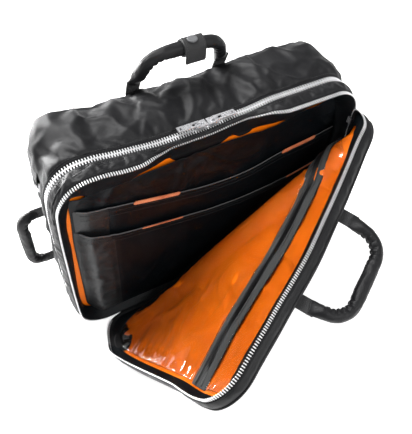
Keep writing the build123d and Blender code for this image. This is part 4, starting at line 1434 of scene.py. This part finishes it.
def make_grip(name, origin, x_axis, y_axis, span, start, rise, radius, bend, lean, body, node, seed):
    """A padded tube whose fabric gathers inside its bends and flattens into its ends."""
    normal = np.cross(x_axis, y_axis)
    foot, top = start - 6 * MM, start + rise
    corners = [(-span / 2, foot), (-span / 2 + lean, top), (span / 2 - lean, top), (span / 2, foot)]
    path, along = rounded_path(corners, bend, 1.5 * MM)
    count, sides = len(path), 40
    length = np.arange(count) * 1.5 * MM
    turning = np.linalg.norm(np.gradient(along, axis=0), axis=1) / (1.5 * MM)
    kernel = np.hanning(25)
    bending = np.convolve(turning * bend, kernel / kernel.sum(), "same").clip(0, 1)
    end = np.minimum(length, length[-1] - length)
    flat = 1 - smooth(end / (20 * MM))
    angle = np.linspace(0, 2 * math.pi, sides, endpoint=False)
    inward = np.stack([along[:, 1], -along[:, 0]], 1)
    points = []
    for k in range(count):
        inner = inward[k, 0] * x_axis + inward[k, 1] * y_axis
        centre = origin + path[k, 0] * x_axis + path[k, 1] * y_axis
        for turn in angle:
            facing_in = math.cos(turn)
            valley = (
                1 - abs(math.sin(math.pi * length[k] / (8.5 * MM) + 0.5 * math.sin(seed + k * 0.11)))
            ) ** 2
            gather = 2.9 * MM * valley * bending[k] * max(0.0, facing_in + 0.25)
            place = Vector((k * 0.045, math.cos(turn) * 0.6, math.sin(turn) * 0.6 + seed))
            wrinkle = 0.7 * MM * noise.noise(place * 2.0) + 0.5 * MM * noise.noise(place * 5.0)
            seam = 0.7 * MM * math.exp(-((facing_in - 1) / 0.03) ** 2)
            r = radius * (1.0 - 0.05 * bending[k]) - gather + wrinkle * (1 - flat[k]) - seam
            wide = r * (1 + 0.14 * flat[k])
            thin = r * (1 - 0.74 * flat[k])
            points.append(centre + inner * wide * math.cos(turn) + normal * thin * math.sin(turn))
    i, j = np.meshgrid(np.arange(count - 1), np.arange(sides), indexing="ij")
    m = (j + 1) % sides
    faces = np.stack([i * sides + j, i * sides + m, (i + 1) * sides + m, (i + 1) * sides + j], -1)
    faces = faces.reshape(-1, 4).tolist()
    faces += [list(range(sides))[::-1], list(range((count - 1) * sides, count * sides))]
    mesh = bpy.data.meshes.new(name)
    mesh.from_pydata([tuple(p) for p in points], [], faces)
    layer = mesh.uv_layers.new(name="cloth")
    for loop in mesh.loops:
        row, column = divmod(loop.vertex_index, sides)
        layer.data[loop.index].uv = (row * 1.5 * MM, column * 1.5 * MM)
    mesh.polygons.foreach_set("use_smooth", [True] * len(mesh.polygons))
    mesh.materials.append(NYLON)
    piece = bpy.data.objects.new(name, mesh)
    scene.collection.objects.link(piece)
    dress(piece, body, "black_nylon", node)
    centres = origin + path[:, 0:1] * x_axis + path[:, 1:2] * y_axis
    inner = inward[:, 0:1] * x_axis + inward[:, 1:2] * y_axis
    line = centres + (normal * 0.72 + inner * 0.68) * (radius * 0.99)
    keep = (end > 16 * MM) & (bending < 0.35)
    runs = np.split(np.arange(count)[keep], np.where(np.diff(np.arange(count)[keep]) > 1)[0] + 1)
    for number, run in enumerate(runs):
        if len(run) > 8:
            stitches(
                f"{name}_stitches_{number}", line[run], normal * 0.72 + inner[run] * 0.68,
                body, THREAD, 3.4 * MM, 0.4 * MM
            )
    return piece


def webbing(name, rows_of_points, body, node, thickness, material=WEBBING):
    """A woven strap through rows of points across its width."""
    net = np.asarray(rows_of_points, float)
    rows, columns = net.shape[:2]
    piece = make_sheet(name, net.reshape(-1, 3), rows, columns, material)
    thicken(piece, thickness, 0.0)
    edge = piece.modifiers.new("soft_edge", "BEVEL")
    edge.width = thickness * 0.3
    edge.segments = 2
    edge.limit_method = "ANGLE"
    dress(piece, body, "black_webbing", *([node] if node else []))
    return piece


def flat_strap(name, centre, across, along, normal, width, low, high, body, node, thickness, lift=None):
    """A straight piece of webbing with a slight lengthwise crown."""
    t = np.linspace(low, high, 14)
    v = np.linspace(-0.5, 0.5, 9)
    net = []
    for at in t:
        raised = lift(at) if lift else 0.0
        net.append(
            [
                (
                    centre + along * at + across * width * k
                    + normal * (raised + 0.25 * MM * math.cos(math.pi * k))
                )
                for k in v
            ]
        )
    return webbing(name, net, body, node, thickness)


def stitched_box(name, centre, across, along, normal, width, height, body):
    """A stitched rectangle with a cross in it."""
    w, h = width / 2, height / 2
    corners = [(-w, -h), (w, -h), (w, h), (-w, h), (-w, -h), (w, h)]
    path = []
    for (x0, y0), (x1, y1) in zip(corners, corners[1:]):
        for t in np.linspace(0, 1, 12, endpoint=False):
            path.append(centre + across * (x0 + (x1 - x0) * t) + along * (y0 + (y1 - y0) * t))
    cross = [centre + across * (-w + 2 * w * t) + along * (h - 2 * h * t) for t in np.linspace(0, 1, 12)]
    stitches(name + "_a", np.array(path), normal, body, THREAD, 2.6 * MM, 0.38 * MM)
    stitches(name + "_b", np.array(cross), normal, body, THREAD, 2.6 * MM, 0.38 * MM)


X_AXIS, Y_AXIS, Z_AXIS = np.eye(3)


def turned(vector):
    """A direction of the closed front panel, as the folded-out panel has it."""
    turn = Matrix.Rotation(FOLD_ANGLE, 3, Vector(FOLD_ALONG))
    return np.array(turn @ Vector(vector))


def make_handles():
    span, strap, width = 126 * MM, 20 * MM, 19 * MM
    rise = 42.5 * MM
    origin = np.array(joints["rear_handle_swing"]["pos_m"])
    keeper_low, keeper_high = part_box("keeper_strap")
    away = (np.array(keeper_low) + np.array(keeper_high)) / 2 - origin
    away = unit(away * (Y_AXIS + Z_AXIS))
    normal = np.cross(X_AXIS, away)
    make_grip(
        "rear_grip", origin, X_AXIS, away, span, strap, rise, 8.6 * MM, 30 * MM, 17 * MM, "rear_handle",
        "rear_handle_grip", 1.0,
    )
    for side, word in ((-1, "left"), (1, "right")):
        foot = origin + X_AXIS * side * span / 2
        flat_strap(
            f"rear_strap_{word}", foot, X_AXIS, away, normal, width, -1 * MM, strap + 3 * MM,
            "rear_handle", "rear_handle_straps", 2.4 * MM,
        )
        stitched_box(
            f"rear_strap_box_{word}",
            foot + away * 11 * MM + normal * 1.45 * MM,
            X_AXIS,
            away,
            normal,
            12 * MM,
            11 * MM,
            "rear_handle",
        )
        stitched_box(
            f"rear_strap_back_{word}",
            foot + away * 11 * MM - normal * 1.0 * MM,
            X_AXIS,
            away,
            -normal,
            12 * MM,
            11 * MM,
            "rear_handle",
        )
        base = np.array([foot[0], BACK_Y + 1.9 * MM, 0.0])
        flat_strap(
            f"rear_anchor_{word}", base, X_AXIS, Z_AXIS, Y_AXIS, width, 258 * MM, 303 * MM,
            "rear_section", "rear_handle_anchors", 2.2 * MM,
        )
        stitched_box(
            f"rear_anchor_box_{word}",
            base + Z_AXIS * 272 * MM + Y_AXIS * 1.35 * MM,
            X_AXIS,
            Z_AXIS,
            Y_AXIS,
            15 * MM,
            20 * MM,
            "rear_section",
        )

    flap_x, flap_up, flap_out = turned((1, 0, 0)), turned((0, 0, 1)), turned((0, -1, 0))
    lean = math.radians(55)
    origin = np.array(joints["front_handle_swing"]["pos_m"])
    normal = flap_out * math.cos(lean) - flap_up * math.sin(lean)
    away = np.cross(normal, flap_x)
    make_grip(
        "front_grip", origin, flap_x, away, span, strap, rise, 8.8 * MM, 30 * MM, 7 * MM, "front_handle",
        "front_handle_grip", 4.0,
    )
    for side, word in ((-1, "left"), (1, "right")):
        foot = origin + flap_x * side * span / 2
        flat_strap(
            f"front_strap_{word}", foot, flap_x, away, normal, width, -1 * MM, strap + 3 * MM,
            "front_handle", "front_handle_straps", 2.6 * MM,
        )
        stitched_box(
            f"front_strap_box_{word}",
            foot + away * 11 * MM + normal * 1.55 * MM,
            flap_x,
            away,
            normal,
            15 * MM,
            12 * MM,
            "front_handle",
        )
        stitched_box(
            f"front_strap_back_{word}",
            foot + away * 11 * MM - normal * 1.1 * MM,
            flap_x,
            away,
            -normal,
            15 * MM,
            12 * MM,
            "front_handle",
        )
        base = foot - flap_out * 1.1 * MM
        flat_strap(
            f"front_anchor_{word}", base, flap_x, flap_up, flap_out, width, -44 * MM, 0 * MM, "flap",
            "front_handle_anchors", 2.4 * MM,
        )
        stitched_box(
            f"front_anchor_box_{word}",
            base - flap_up * 30 * MM + flap_out * 1.45 * MM,
            flap_x,
            flap_up,
            flap_out,
            15 * MM,
            20 * MM,
            "flap",
        )

    span, strap, width = 100 * MM, 15 * MM, 18 * MM
    origin = np.array(joints["side_handle_swing"]["pos_m"])
    away = -X_AXIS
    make_grip(
        "side_grip", origin, Z_AXIS, away, span, strap, 17.5 * MM, 8.0 * MM, 17 * MM, 4 * MM,
        "side_handle", "side_handle_grip", 7.0,
    )
    for side, word in ((-1, "low"), (1, "high")):
        foot = origin + Z_AXIS * side * span / 2
        flat_strap(
            f"side_strap_{word}", foot, Z_AXIS, away, -Y_AXIS, width, -1.5 * MM, strap + 3 * MM,
            "side_handle", "side_handle_straps", 2.6 * MM,
        )
        stitched_box(
            f"side_strap_box_{word}",
            foot + away * 8 * MM - Y_AXIS * 1.5 * MM,
            Z_AXIS,
            away,
            -Y_AXIS,
            12 * MM,
            8 * MM,
            "side_handle",
        )
        base = np.array([-HALF_WIDTH - 1.6 * MM, foot[1], foot[2]])
        flat_strap(
            f"side_anchor_{word}", base, Y_AXIS, Z_AXIS, away, 22 * MM, -13 * MM, 13 * MM, "rear_section",
            "side_handle_anchors", 2.2 * MM,
        )
        stitched_box(
            f"side_anchor_box_{word}", base + away * 1.3 * MM, Y_AXIS, Z_AXIS, away, 16 * MM, 19 * MM,
            "rear_section",
        )


def make_keeper():
    """The strap round the rear grip and the tab that snaps over it."""
    low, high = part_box("keeper_strap")
    left, right = low.x, high.x
    centre = np.array([0.0, (low.y + high.y) / 2, (low.z + high.z) / 2])
    count = 15
    xs = np.linspace(left, right, count)
    inner = 10.2 * MM
    angles = np.linspace(0, 2 * math.pi, 40)
    net = [
        [
            centre + X_AXIS * x + Y_AXIS * inner * math.cos(a) + Z_AXIS * inner * math.sin(a)
            for x in xs
        ] for a in angles
    ]
    webbing("keeper_band", net, "rear_handle", "keeper_strap", 1.6 * MM)
    outer = 12.3 * MM
    path = [
        (outer * math.cos(a), outer * math.sin(a))
        for a in np.linspace(math.radians(80), math.radians(180), 22)
    ]
    tail = 15.5 * MM
    path += [(-outer - 0.5 * MM * math.sin(math.pi * t), -tail * t) for t in np.linspace(0.1, 1, 10)]
    net = []
    for k, (y, z) in enumerate(path):
        share = max(0.0, (k - len(path) + 4) / 4)
        narrow = 1 - 0.10 * share * share
        net.append(
            [
                centre + X_AXIS * (
                    (left + right) / 2 + (x - (left + right) / 2) * narrow
                ) + Y_AXIS * y + Z_AXIS * z
                for x in xs
            ]
        )
    webbing("keeper_flap", net, "keeper", "keeper_tab", 1.6 * MM)
    edge_in = 2.4 * MM
    for number, x in enumerate((left + edge_in, right - edge_in)):
        line = np.array(
            [[x, centre[1] + y * 1.07, centre[2] + z * (1.07 if z > 0 else 1.0)] for y, z in path]
        )
        normal = np.array([[0.0, y, max(z, 0.0)] for y, z in path])
        stitches(f"keeper_stitches_{number}", line, unit(normal), "keeper", THREAD, 2.8 * MM, 0.34 * MM)


def make_ring_tabs():
    """Folded webbing that holds each ring's bar."""
    for side, node in ((-1, "ring_tab_left"), (1, "ring_tab_right")):
        low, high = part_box(node)
        ys = np.linspace(low.y, high.y, 9)
        bar = np.array([(low.x + high.x) / 2, 0.0, 252 * MM])
        wall = side * HALF_WIDTH
        path = [
            (wall + side * 0.9 * MM, high.z + 5 * MM),
            (wall + side * 1.2 * MM, high.z - 1 * MM),
            (wall + side * 1.6 * MM, bar[2] + 4 * MM),
        ]
        for angle in np.linspace(math.radians(160), math.radians(380), 14):
            path.append((bar[0] + side * 2.7 * MM * math.cos(angle), bar[2] + 2.9 * MM * math.sin(angle)))
        path += [
            (wall + side * 5.0 * MM, bar[2] + 6 * MM),
            (wall + side * 3.4 * MM, high.z - 1 * MM),
            (wall + side * 2.4 * MM, high.z + 4 * MM),
        ]
        net = [[np.array([x, y, z]) for y in ys] for x, z in path]
        webbing(f"{node}_webbing", net, "rear_section", node, 1.1 * MM)
        line = np.array(
            [
                [wall + side * 4.0 * MM, y, high.z - 2.5 * MM]
                for y in np.linspace(low.y + 2 * MM, high.y - 2 * MM, 12)
            ]
        )
        stitches(f"{node}_stitches", line, (side, 0.0, 0.3), "rear_section", THREAD, 2.6 * MM, 0.36 * MM)


def make_base():
    """The fabric of the base under the zips' ends."""
    columns, rows = 60, 9
    a, b = np.meshgrid(np.linspace(-1, 1, columns), np.linspace(0, 1, rows), indexing="ij")
    x = a * (ZIP_END - 4 * MM)
    y = MAIN_ZIP_Y + 7.5 * MM - 15 * MM * b
    main = make_sheet(
        "main_base_hinge",
        np.stack([x.ravel(), y.ravel(), np.full(x.size, 2.9 * MM)], 1),
        columns,
        rows,
        NYLON,
    )
    thicken(main, 0.9 * MM)
    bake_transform(main)
    y = FRONT_ZIP_Y + 7.5 * MM - 15 * MM * b
    front = make_sheet(
        "front_base_tongue",
        np.stack([x.ravel(), y.ravel(), np.full(x.size, 2.9 * MM)], 1),
        columns,
        rows,
        NYLON,
    )
    thicken(front, 0.9 * MM)
    dress(front, "front_section", "black_nylon")


def finish_cad_pieces():
    """The metal and hidden CAD pieces keep their shapes, and get edges and materials."""
    shown = {
        "keeper_snap": SNAP_GREY, "d_ring_left": GUNMETAL, "d_ring_right": GUNMETAL, "base_board": BOARD,
        "front_zip_stop": TEETH,
    }
    for name in ("main_left", "main_right", "front", "pocket"):
        shown[name + "_slider"] = SILVER
        shown[name + "_pull"] = SILVER
    for node, material in shown.items():
        piece = frame["nodes"][node]
        piece.data.materials.clear()
        piece.data.materials.append(material)
        if node.endswith(("_slider", "_pull", "_stop")):
            edge = piece.modifiers.new("worn_edges", "BEVEL")
            edge.width = 0.28 * MM
            edge.segments = 2
            edge.limit_method = "ANGLE"


make_camera()
make_studio()
make_rear_shell()
make_back_cover()
make_rear_inside()
make_rear_stitches()
make_main_zip()
make_front_zip()
make_band()
make_band_facing()
make_front_inside()
make_bindings()
make_cover()
make_cover_lining()
make_cover_facing()
make_pocket_zip()
make_vinyl()
make_handles()
make_keeper()
make_ring_tabs()
make_base()
finish_cad_pieces()
